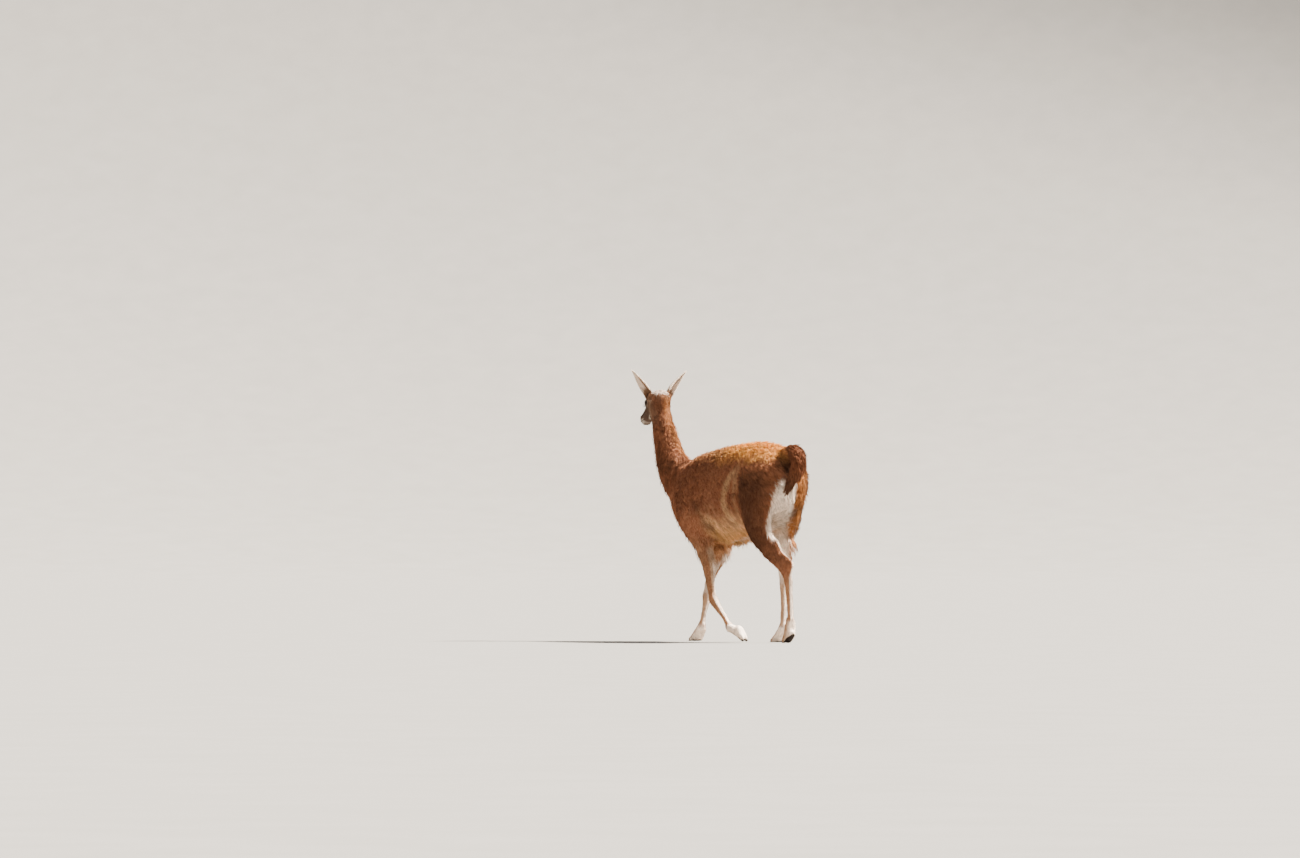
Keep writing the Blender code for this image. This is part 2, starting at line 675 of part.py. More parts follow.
def main():
    for made in list(bpy.data.objects):
        bpy.data.objects.remove(made)
    draw = np.random.default_rng(7)
    legs = {"foreleg_left": FORELEG_LEFT, "foreleg_right": FORELEG_RIGHT,
            "hindleg_left": HINDLEG_LEFT, "hindleg_right": HINDLEG_RIGHT}

    pieces = [barrel("trunk", TRUNK, at), tube("neck", NECK), barrel("skull", SKULL, head_place, 2.3)]
    pieces += [tube(name, rows) for name, rows in legs.items()]
    pieces += [tube("heel_left", HEEL_LEFT), tube("heel_right", HEEL_RIGHT)]
    for foot in FEET:
        pieces += foot_pieces(foot)
    torso = fused("torso", pieces, BODY_VOXEL, 6, BODY_FACES)
    union(torso, belly_locks(torso, draw) + thigh_locks(torso, draw))
    boolean(torso, region([(Vector((0, 0, 0)), Vector((0, 0, 1)))]), "DIFFERENCE")
    largest(torso)

    nodes = {}
    for foot in FEET:
        place = foot_place(foot)
        forward = (place(1, 0, 0) - place(0, 0, 0)).normalized()
        up = (place(0, 0, 1) - place(0, 0, 0)).normalized()
        for side, word in ((-1, "right"), (1, "left")):
            middle = place(0.084, 0.0165 * side, -0.050)
            aside = (place(0, side, 0) - place(0, 0, 0)).normalized()
            planes = [(middle, (-forward - 0.35 * up)), (middle + forward * 0.05, forward), (middle + up * 0.03, up),
                      (place(0.084, 0, -0.078), -up), (middle + aside * 0.03, aside),
                      (place(0.084, 0.0002 * side, 0), -aside)]
            name = foot.replace("foot", "nail") + "_" + word
            nodes[name] = part_off(torso, name, planes)
        leg = legs[foot.replace("foot", "leg")]
        line = leg_axis(leg, len(leg) - 2)
        nodes[foot] = part_off(torso, foot, block_round(at(*leg[-1][:3]) - line * 0.016, line, 0.092, 0.30))

    knee = {"foreleg_left": 9, "foreleg_right": 9, "hindleg_left": 9, "hindleg_right": 9}
    for name, rows in legs.items():
        line = leg_axis(rows, knee[name])
        if name.startswith("fore"):
            start = at(*rows[knee[name]][:3]) - line * 0.012
            cannon = name.replace("foreleg", "forecannon")
        else:
            line = (at(*rows[knee[name] + 2][:3]) - at(*rows[knee[name]][:3])).normalized()
            start = at(*rows[knee[name]][:3]) + line * 0.040
            cannon = name.replace("hindleg", "hindcannon")
        nodes[cannon] = part_off(torso, cannon, block_round(start, line, 0.085, 0.45))

    for side, word in ((1, "left"), (-1, "right")):
        shank = "shank_" + word
        rows = legs["hindleg_" + word]
        line = leg_axis(rows, 6)
        start = at(*rows[6][:3]) + Vector((0, 0, 0.004))
        planes = block_round(start, line, 0.12, 0.60)
        planes[2 if side < 0 else 3] = (Vector((0.012 * side, 0, 0)), Vector((-side, 0, 0)))
        nodes[shank] = part_off(torso, shank, planes)
        thigh = "thigh_" + word
        front = 0.205 if side > 0 else 0.315
        planes = [(at(0, 0.06 * side, 0.600), Vector((-1.857 * side, 0, 1))),
                  (Vector((0.004 * side, 0, 0)), Vector((-side, 0, 0))),
                  (at(front, 0, 0.70), at(1.0, 0, -0.10)), (at(-0.40, 0, 0), at(-1, 0, 0))]
        nodes[thigh] = part_off(torso, thigh, planes)
        foreleg = "foreleg_" + word
        rear = 0.545 if side > 0 else 0.640
        planes = [(at(0, 0.05 * side, 0.505), Vector((-1.55 * side, 0, 1))),
                  (Vector((0.004 * side, 0, 0)), Vector((-side, 0, 0))),
                  (at(rear, 0, 0.55), at(-1.0, 0, 0.30)), (at(0.880, 0, 0.55), at(1.0, 0, 0.35))]
        if side > 0:
            planes[2] = (at(0.480, 0, 0.40), at(-1.0, 0, 0.25))
        nodes[foreleg] = part_off(torso, foreleg, planes)

    neck_planes = [(at(0.862, 0, 0.930), at(-0.687, 0, -0.727))]
    nodes["neck"] = part_off(torso, "neck", neck_planes)
    head_side = (at(1.160, 0, 1.190), at(0.549, 0, 0.836))
    nodes["neck"] = largest(boolean(nodes["neck"], region([head_side]), "INTERSECT"))
    head = head_whole()
    gap = head_side[1].normalized() * GAP
    head = largest(boolean(head, region([(head_side[0] + gap, -head_side[1])]), "INTERSECT"))
    nodes["head"] = head

    for side, word in ((1, "left"), (-1, "right")):
        eye = ellipsoid("eye_" + word, eye_place(side), (0, 0, 0), (EYE_RADIUS,) * 3, 3)
        nodes["eye_" + word] = eye
        nodes["ear_" + word] = largest(boolean(ear(side), grown(head, GAP), "DIFFERENCE"))

    tail = fused("tail", [tube("core", TAIL)], 0.005, 2, 360)
    union(tail, tail_locks(tail, draw))
    nodes["tail"] = largest(boolean(tail, grown(torso, GAP), "DIFFERENCE"))
    nodes["torso"] = torso

    finish(nodes)


def finish(nodes):
    """Names, shades and colours every node, and sets the middle of the whole over the origin."""
    colours = {"torso": FAWN, "neck": FAWN, "tail": FAWN, "thigh": FAWN, "foreleg": FAWN, "shank": FAWN,
               "head": SLATE, "ear": SLATE, "eye": EYE_BROWN, "forenail": HORN, "hindnail": HORN,
               "forecannon": CREAM, "hindcannon": CREAM, "forefoot": CREAM, "hindfoot": CREAM}
    corners = np.array([v.co for made in nodes.values() for v in made.data.vertices])
    middle = (corners.min(0) + corners.max(0)) / 2
    for name, made in nodes.items():
        made.name = made.data.name = name
        made.data.transform(Matrix.Translation((-middle[0], -middle[1], 0)))
        made.data.shade_smooth()
        kind = name.split("_")[0]
        roughness = 0.15 if kind == "eye" else 0.45 if "nail" in kind else 0.9
        made.data.materials.clear()
        made.data.materials.append(material(name, colours[kind], roughness))


main()
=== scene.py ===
"""A guanaco as a life-size museum model: skin, coat, eyes and toenails over the solids, in a plain studio."""
import math
from contextlib import contextmanager
from types import SimpleNamespace

import bmesh
import bpy
import numpy as np
from mathutils import Matrix, Vector
from mathutils.bvhtree import BVHTree
from mathutils.kdtree import KDTree


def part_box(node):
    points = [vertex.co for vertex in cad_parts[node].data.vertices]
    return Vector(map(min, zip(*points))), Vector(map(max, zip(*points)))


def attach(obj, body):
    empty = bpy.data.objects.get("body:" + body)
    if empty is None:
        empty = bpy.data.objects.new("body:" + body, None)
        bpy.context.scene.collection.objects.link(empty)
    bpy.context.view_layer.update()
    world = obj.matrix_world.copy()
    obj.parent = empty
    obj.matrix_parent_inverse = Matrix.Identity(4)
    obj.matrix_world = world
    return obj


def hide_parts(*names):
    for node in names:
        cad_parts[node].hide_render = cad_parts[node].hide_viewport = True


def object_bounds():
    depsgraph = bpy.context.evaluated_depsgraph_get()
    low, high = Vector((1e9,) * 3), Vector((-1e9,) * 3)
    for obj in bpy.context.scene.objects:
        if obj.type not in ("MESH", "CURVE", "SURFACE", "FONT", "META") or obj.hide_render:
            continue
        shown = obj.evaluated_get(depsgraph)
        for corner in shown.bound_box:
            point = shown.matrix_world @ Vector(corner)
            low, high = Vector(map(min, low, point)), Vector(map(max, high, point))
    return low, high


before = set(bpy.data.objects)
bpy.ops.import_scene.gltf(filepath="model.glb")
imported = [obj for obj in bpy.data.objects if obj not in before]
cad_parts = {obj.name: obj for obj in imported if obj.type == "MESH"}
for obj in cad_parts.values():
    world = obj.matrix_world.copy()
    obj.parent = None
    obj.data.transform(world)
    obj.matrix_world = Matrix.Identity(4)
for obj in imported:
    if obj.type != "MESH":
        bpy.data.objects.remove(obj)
cad_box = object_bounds()

# The animal faces -Y, its left side is +X, and its feet are on the floor at height 0.
# Lengths are in metres. Where a side is a number, 1 is the animal's left and -1 its right.
EYES = ["eye_left", "eye_right"]
EARS = ["ear_left", "ear_right"]
NAILS = sorted(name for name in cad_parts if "nail" in name)
FEET = ["forefoot_left", "forefoot_right", "hindfoot_left", "hindfoot_right"]
FLESH = sorted(set(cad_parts) - set(EYES) - set(NAILS))

# How fine the skin is on the body, the head and the feet, and the toenails.
BODY_CELL = 0.0088
HEAD_VOXEL = 0.0018
FOOT_VOXEL = 0.0028
NAIL_VOXEL = 0.0012

# How widely the solids are blurred to take away their locks: on the limbs, tail, trunk and withers.
BLURS = (0.005, 0.010, 0.020, 0.038)
GRID_MARGIN = 0.045
GRID_TOP = 1.37

# How far the fine skins of the feet and the head run on into the next part, and how deep they end under it.
FOOT_STUB, FOOT_STUB_DEPTH = 0.035, 0.007
HEAD_STUB, HEAD_STUB_DEPTH = 0.060, 0.024


def middle(node):
    low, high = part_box(node)
    return (low + high) / 2


# The head's own frame, from its eyes: along the face to the muzzle, aside to the animal's left, and above.
FACE_PITCH = math.radians(24.0)
EYES_ALONG, EYES_ABOVE = 0.098, 0.008
HEAD_ASIDE = (middle("eye_left") - middle("eye_right")).normalized()
HEAD_FORE = Vector((0, 0, 1)).cross(HEAD_ASIDE).normalized() * -1
HEAD_ALONG = HEAD_FORE * math.cos(FACE_PITCH) - Vector((0, 0, 1)) * math.sin(FACE_PITCH)
HEAD_ABOVE = HEAD_FORE * math.sin(FACE_PITCH) + Vector((0, 0, 1)) * math.cos(FACE_PITCH)
HEAD_FROM = (middle("eye_left") + middle("eye_right")) / 2
HEAD_FROM = HEAD_FROM - HEAD_ALONG * EYES_ALONG - HEAD_ABOVE * EYES_ABOVE


def fade(value, start, end):
    """0 up to start, 1 from end on, and smooth between. A negated value gives 1 below and 0 above."""
    share = np.clip((value - start) / (end - start), 0, 1)
    return share * share * (3 - 2 * share)


def read(items, name, width, number=np.float32):
    """One property of all these items, a row for each."""
    values = np.zeros(len(items) * width, number)
    items.foreach_get(name, values)
    return values.reshape(-1, width)


def points_of(made):
    return read(made.data.vertices, "co", 3).astype(float)


def put_points(made, points):
    made.data.vertices.foreach_set("co", points.astype(np.float32).ravel())
    made.data.update()


def normals_of(made):
    return read(made.data.vertices, "normal", 3).astype(float)


def link(made):
    bpy.context.scene.collection.objects.link(made)
    return made


def new_object(name, points, faces):
    mesh = bpy.data.meshes.new(name)
    mesh.from_pydata(np.asarray(points).tolist(), [], [tuple(face) for face in np.asarray(faces).tolist()])
    mesh.update()
    return link(bpy.data.objects.new(name, mesh))


@contextmanager
def edited(made):
    """The object's mesh for editing, which goes back into the object at the end."""
    mesh = bmesh.new()
    mesh.from_mesh(made.data)
    yield mesh
    mesh.to_mesh(made.data)
    mesh.free()


def apply_modifiers(made):
    graph = bpy.context.evaluated_depsgraph_get()
    mesh = bpy.data.meshes.new_from_object(made.evaluated_get(graph))
    made.modifiers.clear()
    made.data = mesh
    return made


def joined_nodes(name, nodes, grown=0.0):
    """A copy of these solids in one object, each a little larger, so that the gaps between them close."""
    made = new_object(name, [], [])
    with edited(made) as mesh:
        for node in nodes:
            piece = bmesh.new()
            piece.from_mesh(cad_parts[node].data)
            bmesh.ops.remove_doubles(piece, verts=piece.verts, dist=1e-6)
            piece.normal_update()
            for vertex in piece.verts:
                vertex.co += vertex.normal * grown
            holder = bpy.data.meshes.new("holder")
            piece.to_mesh(holder)
            piece.free()
            mesh.from_mesh(holder)
            bpy.data.meshes.remove(holder)
    return made


def tree_of(nodes):
    """One search tree of these solids, and the place in the list of the node that each face is of."""
    points, faces, owner = [], [], []
    for place, node in enumerate(nodes):
        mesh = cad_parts[node].data
        start = len(points)
        points += [tuple(vertex.co) for vertex in mesh.vertices]
        faces += [[start + corner for corner in polygon.vertices] for polygon in mesh.polygons]
        owner += [place] * len(mesh.polygons)
    return BVHTree.FromPolygons(points, faces), np.array(owner)


def filled_cells(nodes, low, shape, cell):
    """How full of these solids each cell of a grid is, from rays along Y."""
    tree, _ = tree_of(nodes)
    filled = np.zeros(shape, np.float32)
    edges = low[1] + cell * np.arange(shape[1] + 1)
    ahead = Vector((0, 1, 0))
    for i in range(shape[0]):
        for k in range(shape[2]):
            start = Vector((low[0] + cell * (i + 0.5), edges[0], low[2] + cell * (k + 0.5)))
            depth, entered = 0, 0.0
            while True:
                hit, normal, _, _ = tree.ray_cast(start, ahead)
                if hit is None:
                    break
                if normal.y < 0:
                    depth += 1
                    if depth == 1:
                        entered = hit.y
                else:
                    depth -= 1
                    if depth == 0:
                        reach = np.clip(edges, entered, hit.y)
                        filled[i, :, k] += np.diff(reach) / cell
                start = hit + ahead * 1e-6
    return filled


def blurred(grid, width):
    """The grid after a Gaussian blur this many cells wide."""
    reach = math.ceil(3 * width)
    steps = range(-reach, reach + 1)
    weights = np.exp(-0.5 * (np.array(steps) / width) ** 2)
    weights /= weights.sum()
    for axis in range(3):
        source = np.moveaxis(grid, axis, 0)
        result = np.zeros_like(source)
        count = len(source)
        for step, weight in zip(steps, weights):
            start, end = max(0, step), min(count, count + step)
            result[start - step:end - step] += np.float32(weight) * source[start:end]
        grid = np.moveaxis(result, 0, axis)
    return grid


def surface_points(field, low, cell):
    """Where the field crosses zero: a point in each cell it passes and a square round each crossed edge."""
    inside = field > 0
    mixed = np.zeros(tuple(n - 1 for n in field.shape), int)
    corners = [(i, j, k) for i in (0, 1) for j in (0, 1) for k in (0, 1)]
    for i, j, k in corners:
        mixed += inside[i:i + mixed.shape[0], j:j + mixed.shape[1], k:k + mixed.shape[2]]
    cells = np.argwhere((mixed > 0) & (mixed < 8))
    value = {corner: field[tuple((cells + corner).T)] for corner in corners}
    total, count = np.zeros((len(cells), 3)), np.zeros(len(cells))
    units = np.eye(3, dtype=int)
    for axis in range(3):
        for corner in corners:
            if corner[axis]:
                continue
            first, second = value[corner], value[tuple(corner + units[axis])]
            crossed = (first > 0) != (second > 0)
            share = first[crossed] / (first[crossed] - second[crossed])
            total[crossed] += np.array(corner) + share[:, None] * units[axis]
            count[crossed] += 1
    points = np.array(low) + cell * (cells + 0.5 + total / count[:, None])
    index = np.full(mixed.shape, -1)
    index[tuple(cells.T)] = np.arange(len(cells))
    faces = []
    for axis in range(3):
        first, second = np.moveaxis(inside, axis, 0)[:-1], np.moveaxis(inside, axis, 0)[1:]
        edges = np.argwhere(first != second)
        starts_inside = first[tuple(edges.T)]
        edges = np.insert(edges[:, 1:], axis, edges[:, 0], axis=1)
        u, v = units[(axis + 1) % 3], units[(axis + 2) % 3]
        around = [index[tuple((edges - step).T)] for step in (u + v, v, 0 * u, u)]
        square = np.stack(around, axis=1)
        square[~starts_inside] = square[~starts_inside, ::-1]
        faces.append(square)
    return points, np.concatenate(faces)


def largest(made):
    """Keeps only the largest closed surface of the object."""
    with edited(made) as mesh:
        left, groups = set(mesh.verts), []
        while left:
            group, front = set(), [next(iter(left))]
            while front:
                vertex = front.pop()
                if vertex in group:
                    continue
                group.add(vertex)
                front += [edge.other_vert(vertex) for edge in vertex.link_edges]
            left -= group
            groups.append(group)
        keep = max(groups, key=len)
        bmesh.ops.delete(mesh, geom=[v for v in mesh.verts if v not in keep], context="VERTS")
    return made


def links_of(made):
    """Both ends of every edge, each way round, for averages over neighbours."""
    ends = read(made.data.edges, "vertices", 2, np.int32)
    return np.concatenate([ends[:, 0], ends[:, 1]]), np.concatenate([ends[:, 1], ends[:, 0]])


def neighbour_mean(values, links):
    """The mean of each point's neighbours, for one or several values a point."""
    here, there = links
    values = values if values.ndim > 1 else values[:, None]
    count = np.bincount(here, minlength=len(values))[:, None]
    sums = [np.bincount(here, weights=column[there], minlength=len(values)) for column in values.T]
    return np.stack(sums, axis=1) / np.maximum(count, 1)


def evened(values, links, rounds, share=0.5):
    """The values after rounds of averaging with their neighbours."""
    shape = values.shape
    values = values if values.ndim > 1 else values[:, None]
    for _ in range(rounds):
        values = values + share * (neighbour_mean(values, links) - values)
    return values.reshape(shape)


def body_surface():
    """The body under its coarse hair: the solids blurred until the locks are gone and the flesh is left."""
    nodes = [node for node in FLESH if node not in EARS]
    low = np.array([cad_box[0].x, cad_box[0].y, 0.0]) - GRID_MARGIN
    high = np.array([cad_box[1].x, cad_box[1].y, GRID_TOP]) + GRID_MARGIN
    shape = tuple(np.ceil((high - low) / BODY_CELL).astype(int))
    filled = filled_cells(nodes, low, shape, BODY_CELL)
    fine, tail, broad, wide = (blurred(filled, width / BODY_CELL) for width in BLURS)
    rows = (low[axis] + BODY_CELL * (np.arange(shape[axis]) + 0.5) for axis in range(3))
    _, y, z = np.meshgrid(*rows, indexing="ij")
    trunk = fade(z, 0.42, 0.50) * fade(y, -0.60, -0.45)
    tail_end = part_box("tail")[0].z
    on_tail = fade(y, 0.60, 0.66) * fade(z, tail_end - 0.03, tail_end + 0.01)
    withers = np.exp(-(((y + 0.28) / 0.10) ** 2) - ((z - 0.88) / 0.13) ** 2)
    field = fine + trunk * (broad - fine) + on_tail * trunk * (tail - broad) - 0.5
    field += withers * (wide - broad + 0.04)
    points, faces = surface_points(field, low, BODY_CELL)
    return largest(new_object("body", points, faces))


def remove(made):
    bpy.data.objects.remove(made)


def remeshed(made, voxel):
    modifier = made.modifiers.new("remesh", "REMESH")
    modifier.mode = "VOXEL"
    modifier.voxel_size = voxel
    modifier.adaptivity = 0.0
    return apply_modifiers(made)


def united(first, others):
    """One closed surface of several that overlap."""
    cutters = bpy.data.collections.new("cutters")
    bpy.context.scene.collection.children.link(cutters)
    for other in others:
        cutters.objects.link(other)
    modifier = first.modifiers.new("union", "BOOLEAN")
    modifier.operation = "UNION"
    modifier.solver = "MANIFOLD"
    modifier.operand_type = "COLLECTION"
    modifier.collection = cutters
    apply_modifiers(first)
    for other in others:
        remove(other)
    bpy.data.collections.remove(cutters)
    return first


def nearest_nodes(points, nodes):
    """For each point, which of these nodes is nearest, and how far off it is."""
    tree, owner = tree_of(nodes)
    found = [tree.find_nearest(Vector(point)) for point in points.tolist()]
    return owner[[hit[2] for hit in found]], np.array([hit[3] for hit in found])


# How far under the solids the skin lies, by node; the coat fills the rest.
DEPTHS = {"torso": 0.012, "neck": 0.012, "thigh": 0.011, "foreleg": 0.007, "shank": 0.005, "tail": 0.004,
          "forecannon": 0.0018, "hindcannon": 0.0018, "forefoot": 0.0012, "hindfoot": 0.0012,
          "head": 0.0008, "ear": 0.0}

# How far the body's coarse skin sinks where a finer one takes its place.
SUNK = {"head": 0.020, "forefoot": 0.0060, "hindfoot": 0.0060}


def kind(node):
    return node.removesuffix("_left").removesuffix("_right")


def body_skin():
    """The coarse skin of all but the ears."""
    body = remeshed(body_surface(), BODY_CELL)
    links = links_of(body)
    points, normals = points_of(body), normals_of(body)
    owner, _ = nearest_nodes(points, FLESH)
    depth = np.array([SUNK.get(kind(node), DEPTHS[kind(node)]) for node in FLESH])[owner]
    depth = evened(depth, links, 6)
    put_points(body, evened(points, links, 2) - normals * depth[:, None])
    return body


def head_frame(points):
    """Points in the head's own frame: along, aside and above."""
    offset = points - np.array(HEAD_FROM)
    return np.stack([offset @ np.array(axis) for axis in (HEAD_ALONG, HEAD_ASIDE, HEAD_ABOVE)], axis=1)


def before_poll(points):
    """How far each point is in front of the back of the head."""
    return (points - np.array(HEAD_FROM)) @ np.array(HEAD_FORE)


def mound(places, centre, reach):
    """A soft mound of height 1 at a centre in the head's frame, on both sides of the head."""
    offset = np.abs(places) * np.array([0, 1, 0]) + places * np.array([1, 0, 1]) - np.array(centre)
    return np.exp(-((offset / np.array(reach)) ** 2).sum(axis=1))


def eye_axes(side):
    """The eye's centre, and the directions along its lids, up across them and out of the head."""
    name = "left" if side > 0 else "right"
    centre = middle("eye_" + name)
    out = (HEAD_ALONG * 0.36 + HEAD_ASIDE * (0.92 * side) + HEAD_ABOVE * 0.12).normalized()
    along = HEAD_ALONG - HEAD_ABOVE * 0.12
    along = (along - out * along.dot(out)).normalized()
    return centre, along, out.cross(along) * side, out


EYE_RADIUS = (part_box("eye_left")[1].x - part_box("eye_left")[0].x) / 2
EYE_OPENING = (0.0185, 0.0130)


def eye_reach(points, side):
    """How far each point is from the middle of the eye, 1 at the edge of its opening, and its place there."""
    centre, along, up, out = eye_axes(side)
    offset = points - np.array(centre)
    a, b, c = (offset @ np.array(axis) for axis in (along, up, out))
    reach = np.hypot(a / EYE_OPENING[0], b / EYE_OPENING[1])
    return np.where(c > 0, reach, 9.0), a, b, c


def over_mouth(along, above):
    """How far points of the head's frame are above the line of the mouth."""
    droop = 0.010 * ((0.300 - along) / 0.088) ** 2
    return above - (-0.024 - droop)


def nose_pad(points):
    """1 in the middle of each nostril's bare skin, and less round it."""
    return mound(head_frame(points), (0.268, 0.010, 0.002), (0.012, 0.011, 0.010))


# Soft forms of the face: how far each rises, its centre in the head's frame, and its reach.
FACE_FORMS = {
    "brow": (0.0032, (0.094, 0.034, 0.034), (0.034, 0.014, 0.010)),
    "cheekbone": (0.0022, (0.118, 0.042, -0.012), (0.030, 0.020, 0.008)),
    "hollow before the eye": (-0.0022, (0.150, 0.040, 0.008), (0.020, 0.016, 0.012)),
    "jaw": (0.0030, (0.035, 0.050, -0.040), (0.030, 0.030, 0.026)),
    "hollow of the cheek": (-0.0018, (0.190, 0.032, -0.006), (0.030, 0.016, 0.010)),
}


def sculpt_head(points):
    """How far the head's skin rises along its normals: brow, lids, cheeks, nostrils, lips and their cleft."""
    places = head_frame(points)
    along, aside, above = places.T
    rise = np.zeros(len(points))
    for height, centre, form_reach in FACE_FORMS.values():
        rise += height * mound(places, centre, form_reach)
    for side in (1, -1):
        reach, a, b, c = eye_reach(points, side)
        rise += 0.0014 * np.exp(-((reach - 1.10) / 0.13) ** 2)
        rise -= 0.0020 * np.exp(-((reach - 1.52) / 0.16) ** 2) * fade(b, -0.004, 0.008)
        rise -= 0.0011 * np.exp(-((reach - 1.62) / 0.20) ** 2) * fade(-b, -0.002, 0.010)
        rise -= 0.0020 * np.exp(-((a - 0.024) / 0.007) ** 2 - ((b + 0.005) / 0.0032) ** 2) * (c > 0)
    nose = fade(along, 0.245, 0.258)
    rise += 0.0016 * nose * mound(places, (0.268, 0.0145, 0.004), (0.012, 0.0045, 0.006))
    rise -= 0.0030 * fade(along, 0.262, 0.272) * np.exp(-((aside / 0.0016) ** 2)) * fade(
        above, -0.026, -0.016) * fade(-above, -0.004, 0.004)
    line = over_mouth(along, above)
    lips = fade(along, 0.206, 0.222)
    rise += 0.0014 * lips * np.exp(-((np.abs(line) - 0.0042) / 0.0026) ** 2)
    rise -= 0.0010 * lips * np.exp(-((line - 0.0105) / 0.0030) ** 2)
    return rise


def seam(node, other):
    """The middle of the place where a node meets another, and the way from there to the other's middle."""
    tree, _ = tree_of([other])
    corners = [vertex.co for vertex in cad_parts[node].data.vertices]
    near = [corner for corner in corners if tree.find_nearest(corner)[3] < 0.002]
    centre = sum(near, Vector()) / len(near)
    return centre, (middle(other) - centre).normalized()


def with_stub(name, node, other, reach, voxel, depths):
    """A fine mesh of a node and the start of the next one, which sinks deeper than its skin as it ends."""
    centre, way = seam(node, other)
    made = remeshed(joined_nodes(name, [node, other], 0.0003), voxel)
    past = (points_of(made) - np.array(centre)) @ np.array(way) / reach
    start, joint, end = depths
    depth = start + (joint - start) * fade(past, -1.0, 0.1) + (end - joint) * fade(past, 0.1, 1.0)
    return made, depth, (centre + way * reach, way)


def cut_off(made, plane):
    """Removes what lies past a plane and closes the cut."""
    centre, way = plane
    with edited(made) as mesh:
        everything = mesh.verts[:] + mesh.edges[:] + mesh.faces[:]
        bmesh.ops.bisect_plane(mesh, geom=everything, plane_co=centre, plane_no=way, clear_outer=True)
        bmesh.ops.holes_fill(mesh, edges=[edge for edge in mesh.edges if edge.is_boundary])
        bmesh.ops.triangulate(mesh, faces=[face for face in mesh.faces if len(face.verts) > 4])
    return largest(made)


def head_skin():
    """The head's fine skin: calm but for the lids and the nose, and easing into the neck behind."""
    depths = (DEPTHS["head"], DEPTHS["neck"], HEAD_STUB_DEPTH)
    head, depth, plane = with_stub("head_skin", "head", "neck", HEAD_STUB, HEAD_VOXEL, depths)
    links = links_of(head)
    points = points_of(head)
    keen = np.zeros(len(points))
    for side in (1, -1):
        keen = np.maximum(keen, fade(-eye_reach(points, side)[0], -1.35, -1.15))
    along, _, above = head_frame(points).T
    keen = np.maximum(keen, fade(along, 0.248, 0.258) * fade(above, -0.012, -0.006))
    calm = evened(points, links, 14)
    light = evened(points, links, 2)
    behind = fade(-before_poll(points), -0.035, 0.015)
    points = calm + keen[:, None] * (light - calm)
    points += behind[:, None] * (evened(calm, links, 60) - points)
    depth = depth + 0.007 * behind * fade(0.012 - depth, 0.0, 0.008)
    put_points(head, points)
    normals = evened(normals_of(head), links, 3)
    rear = fade(-normals @ np.array(HEAD_FORE), 0.1, 0.7)
    depth = depth + evened(0.010 * behind * rear * fade(0.024 - depth, 0.0, 0.008), links, 12)
    put_points(head, points + normals * (sculpt_head(points) - depth)[:, None])
    return lightened(cut_off(head, plane), 0.5)


def lightened(made, share):
    """The object with this share of its faces."""
    modifier = made.modifiers.new("lighter", "DECIMATE")
    modifier.ratio = share
    return apply_modifiers(made)


def ear_skin(node):
    """An ear's fine skin, keenest at its tip, with its root sunk in the head."""
    ear = joined_nodes(node + "_skin", [node], 0.0002)
    modifier = ear.modifiers.new("finer", "SUBSURF")
    modifier.subdivision_type = "SIMPLE"
    modifier.levels = modifier.render_levels = 2
    apply_modifiers(ear)
    links = links_of(ear)
    rough = points_of(ear)
    centre, way = seam(node, "head")
    off = np.linalg.norm(rough - np.array(centre), axis=1)
    keen = fade(off / off.max(), 0.66, 0.90)[:, None]
    points = evened(rough, links, 6) * (1 - keen) + evened(rough, links, 1) * keen
    above = -(points - np.array(centre)) @ np.array(way)
    put_points(ear, points + np.array(way) * (0.010 * fade(-above, -0.012, 0.002))[:, None])
    return ear


def foot_skin(node):
    cannon = node.replace("foot", "cannon")
    depths = (DEPTHS["forefoot"], DEPTHS["forecannon"], FOOT_STUB_DEPTH)
    foot, depth, plane = with_stub(node + "_skin", node, cannon, FOOT_STUB, FOOT_VOXEL, depths)
    links = links_of(foot)
    points = evened(points_of(foot), links, 9)
    put_points(foot, points)
    put_points(foot, points - normals_of(foot) * depth[:, None])
    return cut_off(foot, plane)


# The rounds of smoothing at the nape, and how far it then swells.
NAPE_ROUNDS = 160
NAPE_SWELL = 0.004


def ease_nape(made):
    """Smooths the passage from the back of the skull to the neck, and leaves the rest of the skin."""
    points, (here, there) = points_of(made), links_of(made)
    mask = fade(-before_poll(points), -0.020, 0.030) * fade(points[:, 2], 1.17, 1.23)
    mask = mask * fade(-points[:, 2], -1.345, -1.315)
    near = mask[here] > 0
    here, there = here[near], there[near]
    count = np.bincount(here, minlength=len(points))[:, None]
    for _ in range(NAPE_ROUNDS):
        sums = [np.bincount(here, weights=points[there, axis], minlength=len(points)) for axis in range(3)]
        moved = np.where(count > 0, np.stack(sums, axis=1) / np.maximum(count, 1) - points, 0)
        points = points + 0.5 * mask[:, None] * moved
    put_points(made, points)
    put_points(made, points + normals_of(made) * (NAPE_SWELL * mask)[:, None])


def make_skin():
    """One closed skin of the whole animal."""
    body = body_skin()
    others = [head_skin()] + [foot_skin(node) for node in FEET] + [ear_skin(node) for node in EARS]
    skin = united(body, others)
    skin.name = "skin"
    largest(skin)
    ease_nape(skin)
    return skin


def srgb(red, green, blue):
    """A colour given as a screen shows it, as linear light."""
    share = np.array([red, green, blue]) / 255
    return np.where(share <= 0.04045, share / 12.92, ((share + 0.055) / 1.055) ** 2.4)


# Colours of the coat and of the bare skin. The amber, ochre and straw are painted sunlight, laid on the parts
# that face the sun; so is the gold where it lies along the top of the back.
CINNAMON = srgb(190, 130, 98)
RUSSET = srgb(154, 98, 72)
UMBER = srgb(98, 68, 52)
SAND = srgb(242, 196, 150)
GOLD = srgb(250, 192, 118)
SUNLIT_AMBER = srgb(224, 152, 90)
SUNLIT_OCHRE = srgb(180, 122, 72)
SUNLIT_STRAW = srgb(255, 184, 92) * 1.3
CREAM = srgb(250, 238, 226) * 1.55
PALE = srgb(234, 204, 176) * 1.1
GRIZZLE = srgb(152, 130, 110)
SLATE = srgb(88, 68, 58)
SOOT = srgb(48, 40, 36)
TAWNY = srgb(202, 152, 116)


